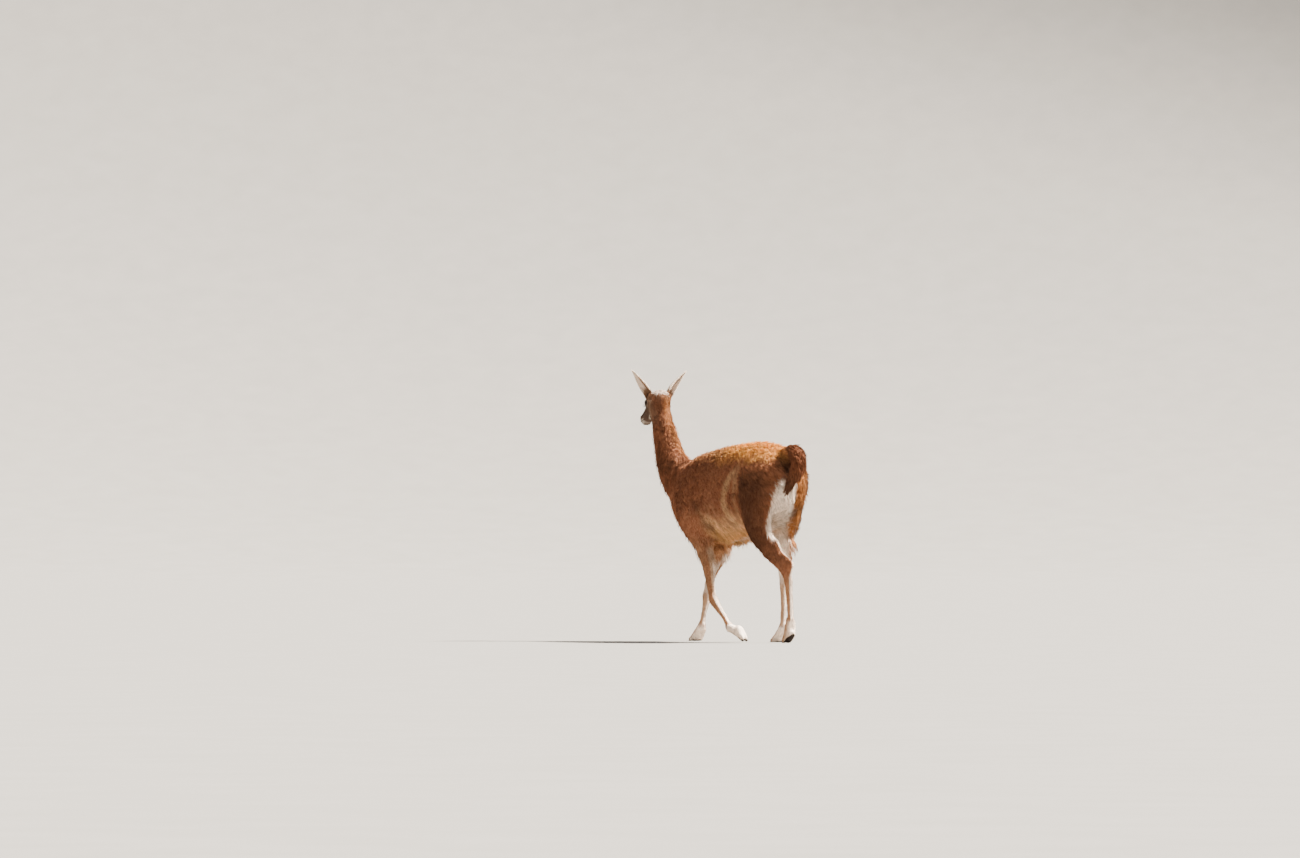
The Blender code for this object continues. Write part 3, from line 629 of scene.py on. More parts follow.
def grain(points, scale, seed):
    """Smooth noise from 0 to 1 at these points."""
    scaled = points * scale + seed * 17.3
    cell = np.floor(scaled).astype(np.int64)
    share = scaled - cell
    share = share * share * (3 - 2 * share)
    total = np.zeros(len(points))
    for i in (0, 1):
        for j in (0, 1):
            for k in (0, 1):
                a, b, c = (cell + np.array([i, j, k])).T
                mixed = (a * 73856093) ^ (b * 19349663) ^ (c * 83492791) ^ seed
                mixed = ((mixed ^ (mixed >> 13)) * 1274126177) & 0xFFFFFFFF
                value = ((mixed ^ (mixed >> 16)) & 0xFFFF) / 65535
                u, v, w = np.where([i, j, k], share, 1 - share).T
                total += u * v * w * value
    return total


def unit(vectors):
    return vectors / np.maximum(np.linalg.norm(vectors, axis=1, keepdims=True), 1e-9)


def flat_on(vectors, normals):
    """The vectors laid on the surface, at length 1."""
    return unit(vectors - normals * (vectors * normals).sum(axis=1, keepdims=True))


KINDS = sorted({kind(node) for node in FLESH})
TAIL_BEND = np.array([0.0, *((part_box("tail")[0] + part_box("tail")[1]) / 2)[1:]])


def ear_line(side):
    """The root of an ear and the way from there to its tip."""
    node = "ear_left" if side > 0 else "ear_right"
    root, _ = seam(node, "head")
    corners = [vertex.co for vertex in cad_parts[node].data.vertices]
    tip = max(corners, key=lambda corner: (corner - root).length)
    return np.array(root), np.array(tip)


EAR_LINES = {side: ear_line(side) for side in (1, -1)}
EAR_FACING = {side: np.array(HEAD_FORE * -0.80 + HEAD_ASIDE * (0.60 * side) + Vector((0, 0, 0.06)))
              for side in (1, -1)}


def ear_place(points, normals):
    """For points of either ear: how far along it, how near its rim, whether in its cup, and how far out."""
    left = points @ np.array(HEAD_ASIDE) > np.array(HEAD_FROM) @ np.array(HEAD_ASIDE)
    along, rim, inside, outer = (np.zeros(len(points)) for _ in range(4))
    for side, mine in ((1, left), (-1, ~left)):
        root, tip = EAR_LINES[side]
        line = (tip - root) / np.linalg.norm(tip - root)
        facing = EAR_FACING[side] - line * (EAR_FACING[side] @ line)
        facing /= np.linalg.norm(facing)
        across = np.cross(line, facing)
        across *= np.sign(across @ np.array(HEAD_ASIDE)) * side
        offset = points[mine] - root
        along[mine] = offset @ line / np.linalg.norm(tip - root)
        bow = 0.004 * np.sin(np.pi * np.clip(along[mine], 0, 1))
        middle_out = offset - np.outer(offset @ line, line) - facing * (0.003 - bow)[:, None]
        inside[mine] = fade(-(middle_out * normals[mine]).sum(axis=1), -0.002, 0.004)
        rim[mine] = offset @ facing + bow
        outer[mine] = offset @ across
    return along, rim, inside, outer


def lie_of(points, normals, weights):
    """The way that the hair lies at each point, before it is laid on the surface."""
    x, y, z = points.T
    count = len(points)
    lies = {name: np.tile(way, (count, 1)) for name, way in {
        "neck": (0.0, 0.38, -0.92), "thigh": (0.0, 0.42, -0.90), "shank": (0.0, 0.25, -0.95),
        "foreleg": (0.0, 0.22, -0.95), "forecannon": (0.0, 0.0, -1.0), "hindcannon": (0.0, 0.0, -1.0),
        "forefoot": (0.0, -0.3, -0.9), "hindfoot": (0.0, -0.3, -0.9)}.items()}
    back = 0.30 + 0.62 * fade(y, -0.44, -0.16)
    lies["torso"] = np.stack([0 * x, back, -0.55 - 0.25 * (1 - back)], axis=1)
    bend = points - TAIL_BEND
    over = unit(np.stack([0 * x, bend[:, 2], -bend[:, 1]], axis=1))
    over[:, 2] -= 0.9 * fade(-z, -0.95, -0.82)
    lies["tail"] = over
    along, aside, _ = head_frame(points).T
    back = -np.array(HEAD_ALONG)
    lies["head"] = back + np.outer(0.25 + 2.2 * fade(-along, -0.05, 0.03), [0, 0.15, -1.0])
    for side in (1, -1):
        reach, a, b, _ = eye_reach(points, side)
        _, eye_along, eye_up, _ = eye_axes(side)
        away = np.outer(a, np.array(eye_along)) + np.outer(b * 1.6, np.array(eye_up))
        near = np.exp(-((np.minimum(reach, 9) / 1.9) ** 2))
        lies["head"] = lies["head"] + unit(away) * (1.3 * near)[:, None]
    left = aside > 0
    lines = {side: unit((EAR_LINES[side][1] - EAR_LINES[side][0])[None])[0] for side in (1, -1)}
    lies["ear"] = np.where(left[:, None], lines[1], lines[-1])
    mixed = sum(weights[:, KINDS.index(name), None] * unit(way) for name, way in lies.items())
    return flat_on(mixed, normals)


def parts_of(weights):
    """How much each point belongs to each part of the animal, by the part's name."""
    return SimpleNamespace(**{name: weights[:, i] for i, name in enumerate(KINDS)})


# How far the white between the hind legs reaches aside, as (height, reach) up each side.
WHITE_LEFT = [(0.46, 0.075), (0.54, 0.115), (0.65, 0.138), (0.71, 0.132), (0.80, 0.120), (0.85, 0.098),
              (0.89, 0.070)]
WHITE_RIGHT = [(0.46, 0.060), (0.56, 0.078), (0.64, 0.074), (0.74, 0.052), (0.80, 0.036), (0.92, 0.030)]


def painter(tone):
    """A brush that lays a colour over these tones in place, with a share from 0 to 1 at each point."""
    def lay(colour, share):
        share = np.clip(share, 0, 1)[:, None]
        tone[:] = tone * (1 - share) + colour * share
    return lay


def band(value, start, end, soft):
    """1 between start and end, falling to 0 over a soft border on both sides."""
    return fade(value, start - soft, start) * fade(-value, -end - soft, -end)


def patch_round(points, centre, reach):
    """1 over most of a rounded patch at a centre, falling quickly to 0 at its border."""
    x, y, z = ((points - np.array(centre)) / np.array(reach)).T
    return np.exp(-(y**2 + x**2 + z**2) ** 2)


def paint_sunlit_back(lay, at, part):
    """Painted sunlight: gold along the top of the back, ochre on the right side, which faces the sun, and
    bright straw over the rump.
    """
    x, y, z, ragged = at.x, at.y, at.z, at.ragged
    # Painted sunlight on the top of the back and on the sunward right side, brightest over the rump.
    lay(GOLD, 0.45 * part.trunk * fade(z + 0.05 * ragged, 0.94, 1.04))
    lay(SUNLIT_OCHRE, 0.65 * (part.trunk + part.foreleg) * fade(-x + 0.05 * ragged, 0.00, 0.12))
    rump = fade(z + 0.07 * ragged, 0.945, 1.035) * fade(y + 0.1 * ragged, 0.08, 0.30)
    lay(SUNLIT_STRAW, 0.80 * part.trunk * rump)


def mark_neck(lay, at, part):
    """The neck: redder in front, with darker strands, and painted sunlight on its back in amber and on its
    right side in ochre.
    """
    rearward, ragged = at.rearward, at.ragged
    behind_poll = fade(-before_poll(at.points), -0.03, 0.02)
    neck = part.neck + part.head * behind_poll
    lay(RUSSET, 0.70 * neck * fade(-rearward + 0.3 * ragged, -0.6, 0.3))
    # Painted sunlight on the back and the right side of the neck, which face the sun.
    lay(SUNLIT_AMBER, 0.55 * neck * fade(rearward - 0.6 * at.normals[:, 0] + 0.3 * ragged, 0.40, 0.95))
    lay(SUNLIT_OCHRE, 0.5 * neck * fade(-at.normals[:, 0] - 0.5 * rearward + 0.3 * ragged, 0.0, 0.6))
    strands = fade(grain(at.points * [1, 1, 0.22], 46, 21) + 0.4 * ragged, 0.48, 0.72)
    lay(UMBER, 0.45 * neck * strands)
    lay(UMBER, 0.45 * part.head * (1 - behind_poll))


def low_flank(at):
    """1 low on the flank, from the elbow back."""
    return fade(-at.z + 0.10 * at.ragged, -0.74, -0.60) * fade(at.y + 0.08 * at.ragged, -0.14, 0.02)


def mark_flank(lay, at, part):
    """The flank: browner on the shoulder and pale low on the side; pale bands before the thigh, partly the
    paler tips of the long hair and partly a painted highlight on the fold; and painted shade in the fold
    behind the upper arm.
    """
    y, z, out, ragged = at.y, at.z, at.out, at.ragged
    lay(RUSSET, 0.22 * part.torso * band(y + 0.05 * ragged, -0.36, 0.00, 0.10) * (at.upward < 0.7))
    # The pale bands before the thigh: partly paler hair tips, partly a painted highlight along the fold.
    pale_tips_and_highlight = y + 0.020 * ragged
    curved = pale_tips_and_highlight - 3.0 * (z - 0.755) ** 2
    streaks = [(curved, 0.264, 0.290, 0.62, 0.90, 0.70), (pale_tips_and_highlight, 0.374, 0.390, 0.68, 0.90, 0.50)]
    for place, first, last, low, high, share in streaks:
        streak = band(place, first, last, 0.022) * band(z + 0.03 * ragged, low, high, 0.07)
        lay(SAND, share * part.torso * streak * fade(out, 0.2, 0.5))
    lay(SAND * 1.5, 0.92 * part.torso * low_flank(at))
    # Painted shade in the fold behind the upper arm.
    crease = (y + 0.010 - 0.675 * (0.77 - z) + 0.010 * ragged) / 0.020
    crease = np.exp(-(crease**2)) * band(z, 0.585, 0.740, 0.05) * fade(out, 0.2, 0.5)
    lay(UMBER, 0.55 * part.torso * crease)


def mark_thigh(lay, at, part):
    """The thigh, darker than the back: partly its own sleeker, darker hair and partly painted shade. The root
    of the tail is darker too: partly its dark skin and partly painted shadow cast by the tail.
    """
    y, z, out, ragged = at.y, at.z, at.out, at.ragged
    # The thigh's darker band: partly its own darker hair, partly painted shade.
    dark = band(y + 0.04 * ragged, 0.435, 0.700, 0.040) * band(z + 0.06 * ragged, 0.44, 0.86, 0.10)
    dark = dark * fade(out + 0.3 * ragged, -0.10, 0.20) * (1 - 0.40 * fade(y, 0.50, 0.66))
    lay(UMBER, 0.84 * part.trunk * dark)
    # Dark at the root of the tail: partly dark skin, partly painted shadow cast by the tail.
    root = patch_round(at.points, (0.012, 0.60, 0.950), (0.066, 0.060, 0.085))
    lay(UMBER, 0.90 * part.torso * root)
    lay(RUSSET, 0.75 * part.thigh * fade(out + 0.3 * ragged, 0.0, 0.5) * (1 - dark))


def mark_belly(lay, at, part):
    """Painted shade in the armpit behind the elbow, at the belly's edge; the white of the belly; and the
    golden edge of the low flank.
    """
    y, z, out, ragged = at.y, at.z, at.out, at.ragged
    # Painted shade in the armpit behind the elbow.
    armpit_shade = band(y + 0.02 * ragged, 0.05, 0.11, 0.03) * band(z, 0.55, 0.63, 0.03) * fade(out, -0.2, 0.3)
    lay(UMBER, 0.7 * part.torso * armpit_shade)
    belly = fade(-at.upward + 0.2 * ragged, 0.86, 1.00) * fade(-at.aside + 0.03 * ragged, -0.055, -0.030)
    lay(CREAM, 0.60 * part.torso * belly * fade(-z, -0.66, -0.58) * fade(y, 0.02, 0.10))
    crotch = fade(y, 0.36, 0.44) * fade(-at.aside, -0.12, -0.08) * fade(-z + 0.03 * ragged, -0.74, -0.66)
    lay(CREAM, 0.9 * part.torso * crotch)
    lay(GOLD * 1.2, 0.5 * part.torso * low_flank(at) * fade(-z + 0.04 * ragged, -0.64, -0.58) * (1 - belly))


def mark_limbs(lay, at, part):
    """The limbs: white on their inner sides and pale along the back edges of the lower legs."""
    x, y, z, out, rearward, ragged = at.x, at.y, at.z, at.out, at.rearward, at.ragged
    limb = part.foreleg + part.thigh + part.shank
    cannon = part.forecannon + part.hindcannon
    lay(TAWNY, 0.85 * part.foreleg * fade(-z + 0.05 * ragged, -0.62, -0.46))
    # The upper shank darker down to the hock, like the thigh: partly darker hair, partly painted shade.
    lay(UMBER, 0.55 * part.shank * fade(z, 0.36, 0.48))
    lay(TAWNY, 0.7 * (part.shank + part.foreleg) * fade(-z, -0.40, -0.28))
    lay(TAWNY, cannon)
    strip = fade(rearward - 0.9 * out + 0.25 * ragged, 0.35, 0.75) * fade(-z, -0.56, -0.50)
    lay(PALE, 0.85 * part.foreleg * strip * (x > 0))
    inner = fade(-out + 0.35 * ragged, 0.05, 0.45)
    inner = inner * (1 - part.foreleg * fade(z + 0.05 * ragged, 0.40, 0.46))
    behind = fade(rearward - 1.1 * out + 0.3 * ragged, 0.65, 1.00) * fade(-z, -0.80, -0.60)
    # Above the hock on the right hind leg the white gives way to the amber of painted sunlight laid with the
    # buttock.
    behind = behind * (1 - part.foreleg) * (1 - (x < 0) * fade(z, 0.40, 0.46))
    lay(CREAM, limb * np.maximum(inner, behind))
    elbow = band(z + 0.03 * ragged, 0.455, 0.500, 0.012) * fade(rearward + 0.2 * ragged, 0.55, 0.85)
    elbow = elbow * fade(-out + 0.2 * ragged, -0.5, 0.1)
    lay(CREAM, 0.9 * part.foreleg * elbow * (x < 0))
    hind_side = np.where((x > 0) & (y < 0.4), 0.80 * rearward + 0.60 * at.upward, rearward)
    pale = fade(hind_side + 0.15 * ragged, 0.76, 0.94)
    lay(PALE, 0.45 * cannon * fade(-out + 0.3 * ragged, 0.1, 0.6))
    lay(CREAM, cannon * pale)


def mark_seat(lay, at, part):
    """The white under the tail and the browner edges of the thighs beside it, amber on the right as painted
    sunlight; and the dark hollow under the tail, partly dark skin and partly painted shadow cast by the tail.
    """
    x, y, z, out, rearward, ragged = at.x, at.y, at.z, at.out, at.rearward, at.ragged
    limit = np.where(x > 0, np.interp(z, *zip(*WHITE_LEFT)), np.interp(z, *zip(*WHITE_RIGHT)))
    under_tail = fade(limit - at.aside + 0.015 * ragged, -0.006, 0.008) * fade(rearward, 0.1, 0.5)
    lay(CREAM, part.trunk * under_tail * fade(y, 0.43, 0.50) * fade(-z, -0.90, -0.86))
    buttock = (part.trunk + part.shank) * fade(rearward + 0.2 * ragged, 0.40, 0.80) * (1 - under_tail)
    buttock = buttock * band(z, 0.44, 0.90, 0.04) * fade(y, 0.43, 0.50)
    lay(CINNAMON, 0.50 * buttock * (x > 0))
    # Painted sunlight: the right buttock, which faces the sun, in amber.
    lay(SUNLIT_AMBER, 0.70 * buttock * (x < 0) * fade(-out, -1.0, -0.4))
    # The hollow under the tail: partly dark skin, partly painted shadow cast by the tail.
    hollow = patch_round(at.points, (0.012, 0.62, 0.935), (0.045, 0.055, 0.055))
    lay(SOOT, 0.75 * part.torso * hollow)


def mark_chest(lay, at, part):
    """The white low on the chest."""
    chest = fade(-at.aside, -0.10, -0.04) * fade(-at.z + 0.08 * at.ragged, -0.68, -0.56)
    lay(CREAM, part.torso * chest * fade(-at.y, 0.20, 0.30))


def mark_feet(lay, at, part):
    """The feet: browner in front, paler behind, and dark under the sole; on the left forefoot, lifted in the
    sun, painted sunlight keeps its sole paler and lays pale on its top.
    """
    x, y, z, rearward, ragged = at.x, at.y, at.z, at.rearward, at.ragged
    foot = part.forefoot + part.hindfoot
    lay(TAWNY * 0.9 + GRIZZLE * 0.2, foot)
    lay(PALE, 0.7 * foot * fade(grain(at.points, 60, 9) + 0.3 * rearward, 0.35, 0.75))
    lay(CREAM, 0.9 * foot * fade(0.9 * rearward - 0.45 * at.out + 0.5 * ragged, -0.1, 0.6))
    sole = foot * fade(sole_facing(x, y, at.normals) + 0.1 * ragged, 0.62, 0.86)
    # Painted sunlight on the left forefoot as it leaves the floor: its sole stays paler and its top is laid
    # pale.
    sunlit_sole = sole * (x > 0) * fade(-y, -0.40, -0.30)
    lay(SOOT, sole - 0.75 * sunlit_sole)
    sunlit = (x > 0) * fade(-y, -0.40, -0.30) * fade(z, 0.016, 0.034) * (1 - fade(-rearward, 0.0, 0.5))
    lay(CREAM, 0.8 * foot * sunlit)


def mark_tail(lay, at, part):
    """The tail: brown over the top, darker low down, and darker and greyer inside its curl as painted shade.
    """
    z, ragged = at.z, at.ragged
    inward = -(unit(at.points - TAIL_BEND) * at.normals).sum(axis=1)
    tail = part.tail
    lay(RUSSET * 0.62, 0.92 * tail)
    # Painted shade on the inside of the tail's curl.
    lay(UMBER, 0.85 * tail * fade(inward + 0.4 * ragged, -0.2, 0.5))
    lay(UMBER * 0.8, 0.8 * tail * fade(-z + 0.05 * ragged, -0.96, -0.86))
    lay(SOOT, 0.5 * tail * fade(inward + 0.3 * ragged, 0.3, 0.8))
    lay(CREAM, 0.9 * tail * fade(-z, -0.83, -0.80) * fade(grain(at.points, 210, 12), 0.62, 0.72))


# How far the left feet are turned about their fetlocks as they leave the floor, in degrees.
FOREFOOT_TURN, HINDFOOT_TURN = 112.0, 36.0


def sole_facing(x, y, normals):
    """How squarely each point of the feet faces the way of its sole: 1 on the sole itself."""
    turn = np.where(x > 0, np.where(y > 0.40, HINDFOOT_TURN, FOREFOOT_TURN), 0.0)
    turn = np.radians(turn)
    return normals[:, 1] * np.sin(turn) - normals[:, 2] * np.cos(turn)


def mark_head(lay, at, part):
    """The markings of the head and ears, over the tone of the rest."""
    points, normals, ragged = at.points, at.normals, at.ragged
    along, aside, above = head_frame(points).T
    head, neck = part.head, part.neck
    under = -(normals @ np.array(HEAD_ABOVE))
    ahead = before_poll(points)
    throat = fade(under + 0.3 * ragged, 0.25, 0.75) * fade(ahead, 0.0, 0.03) * fade(-above, 0.0, 0.02)
    throat = throat * (1 - fade(along, 0.05, 0.08) * fade(above, -0.060, -0.045))
    lay(SAND, 0.7 * neck * throat * fade(points[:, 2], 0.95, 1.15))
    lay(GRIZZLE, 0.25 * head * fade(-along + 0.03 * ragged, -0.03, 0.05) * fade(above, -0.07, -0.02))
    lay(GRIZZLE, 0.50 * head * fade(along + 0.02 * ragged, 0.00, 0.03))
    lay(GRIZZLE, 0.50 * head * fade(along + 0.02 * ragged, 0.05, 0.08))
    lay(UMBER, 0.40 * head * band(along + 0.02 * ragged, -0.01, 0.06, 0.02) * fade(-above, 0.0, 0.03))
    lay(SLATE, 0.95 * head * fade(along + 0.03 * ragged, 0.05, 0.12) * fade(above, -0.075, -0.045))
    bridge = fade(-np.abs(aside) + 0.01 * ragged, -0.036, -0.014) * fade(above, -0.03, 0.00)
    lay(SOOT * 0.5, 0.85 * head * bridge * fade(along, 0.05, 0.12))
    lay(CREAM, head * throat * fade(-along + 0.03 * ragged, -0.19, -0.10))
    latch = band(along + 0.3 * above + 0.008 * ragged, 0.036, 0.040, 0.010) * band(above, -0.09, 0.00, 0.03)
    lay(PALE, 0.22 * head * latch * fade(np.abs(aside), 0.025, 0.040))
    streaky = 0.55 * grain(points * [1, 1, 0.35], 260, 7) + 0.45 * grain(points, 120, 8)
    height = points[:, 2] + 0.034 * (streaky - 0.5)
    crown = fade(height, 1.334, 1.348) * band(along + 0.02 * ragged, -0.040, 0.055, 0.020)
    crown = crown * fade(-np.abs(aside) + 0.01 * ragged, -0.056, -0.040)
    lay(CREAM, 0.88 * (head + neck) * crown)
    line = over_mouth(along, above)
    lips = fade(along + 0.02 * ragged, 0.205, 0.235) * fade(-np.abs(line + 0.004), -0.020, -0.009)
    lay(CREAM * 0.45, 0.70 * head * lips)
    lay(SOOT, head * fade(-np.abs(line), -0.0022, -0.0008) * fade(along, 0.205, 0.215))
    lay(SOOT * 0.4, 0.95 * head * fade(nose_pad(points), 0.25, 0.7))
    for side in (1, -1):
        reach = eye_reach(points, side)[0]
        ring = np.exp(-((reach - 1.72) / 0.22) ** 2)
        lay(CREAM * 0.5, 0.28 * head * ring)
        lay(SOOT * 0.5, head * fade(-reach, -1.36, -1.20))
    ear = part.ear
    reach, rim, inside, outer = ear_place(points, normals)
    lay(GRIZZLE, ear)
    lay(TAWNY * 0.8, 0.50 * ear * inside)
    turned = np.where(aside > 0, 0.0, 0.011)
    wall = inside * fade(outer - turned + 0.004 * ragged, -0.007, 0.001)
    wall = wall * fade(reach + 0.06 * ragged, 0.14, 0.32)
    edge = fade(rim + 0.004 * ragged, -0.006, -0.001) * fade(reach, 0.10, 0.20)
    edge = np.maximum(fade(reach + 0.06 * ragged, 0.80, 0.92), edge)
    lay(CREAM, ear * np.maximum(edge, wall))


def tone_of(points, normals, weights):
    """The colour of the coat where a hair is rooted: the markings of the species with ragged borders, and
    painted sunlight and painted shade laid over them.
    """
    x, y, z = points.T
    ragged = (grain(points, 34, 3) - 0.5) * 0.6 + (grain(points, 110, 5) - 0.5) * 0.4
    at = SimpleNamespace(points=points, normals=normals, x=x, y=y, z=z, aside=np.abs(x), ragged=ragged,
                         out=normals[:, 0] * np.sign(x), rearward=normals[:, 1], upward=normals[:, 2])
    part = parts_of(weights)
    part.trunk = part.torso + part.thigh
    tone = np.tile(CINNAMON, (len(points), 1))
    lay = painter(tone)
    for mark in (paint_sunlit_back, mark_neck, mark_flank, mark_thigh, mark_belly, mark_limbs, mark_seat, mark_chest,
                 mark_feet, mark_tail, mark_head):
        mark(lay, at, part)
    return tone


def neck_blended(points, weights):
    """The weights with a long soft passage from the short hair of the head to the neck's."""
    centre, way = seam("head", "neck")
    past = (points - np.array(centre)) @ np.array(way)
    behind_face = 1 - fade(before_poll(points), 0.03, 0.06)
    head, neck = KINDS.index("head"), KINDS.index("neck")
    both = weights[:, head] + weights[:, neck]
    blended = weights.copy()
    blended[:, neck] += behind_face * (both * fade(past, -0.055, 0.065) - weights[:, neck])
    blended[:, head] = both - blended[:, neck]
    return blended


class Surface:
    """What the coat needs to know of the skin, point by point and face by face."""

    def __init__(self, made):
        made.data.calc_loop_triangles()
        self.faces = read(made.data.loop_triangles, "vertices", 3, np.int32)
        self.links = links_of(made)
        self.points = points_of(made)
        self.normals = unit(evened(normals_of(made), self.links, 1))
        owner, _ = nearest_nodes(self.points, FLESH)
        kinds = np.array([KINDS.index(kind(node)) for node in FLESH])[owner]
        self.weights = neck_blended(self.points, evened(np.eye(len(KINDS))[kinds], self.links, 24))
        self.lie = lie_of(self.points, self.normals, self.weights)
        self.lie = flat_on(evened(self.lie, self.links, 6), self.normals)
        self.tone = tone_of(self.points, self.normals, self.weights)
        first, second, third = (self.points[self.faces[:, i]] for i in range(3))
        self.areas = np.linalg.norm(np.cross(second - first, third - first), axis=1) / 2
        self.kinds = self.weights[self.faces].mean(axis=1).argmax(axis=1)
        self.centres = (first + second + third) / 3


def floats_on(made, name, values):
    layer = made.data.attributes.new(name, "FLOAT", "POINT")
    layer.data.foreach_set("value", np.asarray(values, np.float32).ravel())


def vectors_on(made, name, values):
    layer = made.data.attributes.new(name, "FLOAT_VECTOR", "POINT")
    layer.data.foreach_set("vector", np.asarray(values, np.float32).ravel())


def colours_on(made, name, values):
    layer = made.data.color_attributes.new(name, "FLOAT_COLOR", "POINT")
    full = np.concatenate([values, np.ones((len(values), 1))], axis=1)
    layer.data.foreach_set("color", full.astype(np.float32).ravel())


def dress_skin(made, surface):
    """Puts the coat's colours and the direction of the hair on the skin itself."""
    colours_on(made, "tone", surface.tone)
    floats_on(made, "along", np.full(len(surface.points), 0.45))
    floats_on(made, "tint", np.full(len(surface.points), 0.45))
    offset = surface.points - np.array([0.0, 0.1, 0.8])
    combed = offset - surface.lie * (0.86 * (offset * surface.lie).sum(axis=1, keepdims=True))
    vectors_on(made, "combed", combed)
    bare = np.zeros(len(surface.points))
    for side in (1, -1):
        bare = np.maximum(bare, fade(-eye_reach(surface.points, side)[0], -1.40, -1.22))
    bare = np.maximum(bare, fade(nose_pad(surface.points), 0.25, 0.7))
    floats_on(made, "bare", bare)
    made.data.shade_smooth()


# The coat by part: distance between roots, length, width, rise of the tips over the skin as a share of the
# length, droop of the tips, and how strongly neighbours draw together.
COAT = {
    "neck": (0.0030, 0.027, 0.0024, 0.30, 0.05, 0.45),
    "torso": (0.0043, 0.037, 0.0035, 0.22, 0.08, 0.55),
    "thigh": (0.0038, 0.027, 0.0030, 0.18, 0.06, 0.40),
    "foreleg": (0.0042, 0.016, 0.0032, 0.18, 0.05, 0.25),
    "shank": (0.0040, 0.015, 0.0030, 0.16, 0.05, 0.25),
    "forecannon": (0.0038, 0.010, 0.0028, 0.13, 0.02, 0.15),
    "hindcannon": (0.0038, 0.010, 0.0028, 0.13, 0.02, 0.15),
    "forefoot": (0.0036, 0.007, 0.0026, 0.14, 0.02, 0.10),
    "hindfoot": (0.0036, 0.007, 0.0026, 0.14, 0.02, 0.10),
    "tail": (0.0036, 0.046, 0.0050, 0.22, 0.04, 0.70),
    "head": (0.0027, 0.0096, 0.0020, 0.11, 0.00, 0.15),
    "ear": (0.0025, 0.0092, 0.0018, 0.11, 0.00, 0.15),
}


# The candidates drawn for each root that is kept, and the size of the cell that takes one, in spacings.
CANDIDATES = 2.6
CELL = 1.12


def scattered(surface, faces, spacing, draw):
    """Roots spread over these faces of the skin: each one's face, its share of each corner and its place."""
    wanted = surface.areas[faces] / spacing**2 * CANDIDATES
    count = np.floor(wanted + draw.random(len(faces))).astype(int)
    chosen = np.repeat(faces, count)
    shares = draw.random((len(chosen), 2))
    over = shares.sum(axis=1) > 1
    shares[over] = 1 - shares[over]
    shares = np.column_stack([1 - shares.sum(axis=1), shares])
    points = (surface.points[surface.faces[chosen]] * shares[:, :, None]).sum(axis=1)
    order = draw.permutation(len(chosen))
    cells = np.floor(points[order] / (spacing * CELL)).astype(np.int64)
    _, first = np.unique(cells, axis=0, return_index=True)
    keep = order[np.sort(first)]
    return chosen[keep], shares[keep], points[keep]


def on_skin(values, surface, chosen, shares):
    """Values of the skin's points, read at the roots."""
    return (values[surface.faces[chosen]] * shares[:, :, None]).sum(axis=1)


def drawn_together(points, every, draw):
    """The way from each root to the middle of the lock that it belongs to."""
    count = max(1, len(points) // every)
    middles = points[draw.permutation(len(points))[:count]]
    tree = KDTree(count)
    for i, point in enumerate(middles.tolist()):
        tree.insert(point, i)
    tree.balance()
    nearest = np.array([tree.find(point)[1] for point in points.tolist()])
    return middles[nearest] - points, nearest


def tuft_shape(rings):
    """Faces of one tuft with this many rings of three points and a tip."""
    faces = [(0, 2, 1)]
    for ring in range(rings - 1):
        for i in range(3):
            a, b = ring * 3 + i, ring * 3 + (i + 1) % 3
            faces += [(a, b, b + 3), (a, b + 3, a + 3)]
    last = (rings - 1) * 3
    faces += [(last + i, last + (i + 1) % 3, last + 3) for i in range(3)]
    return np.array(faces)


# The width of a tuft's patch on the unwrap, the depth of its root and its least height over the floor.
PATCH = 0.003
ROOT_DEPTH = 0.0012
FLOOR_CLEARANCE = 0.0008


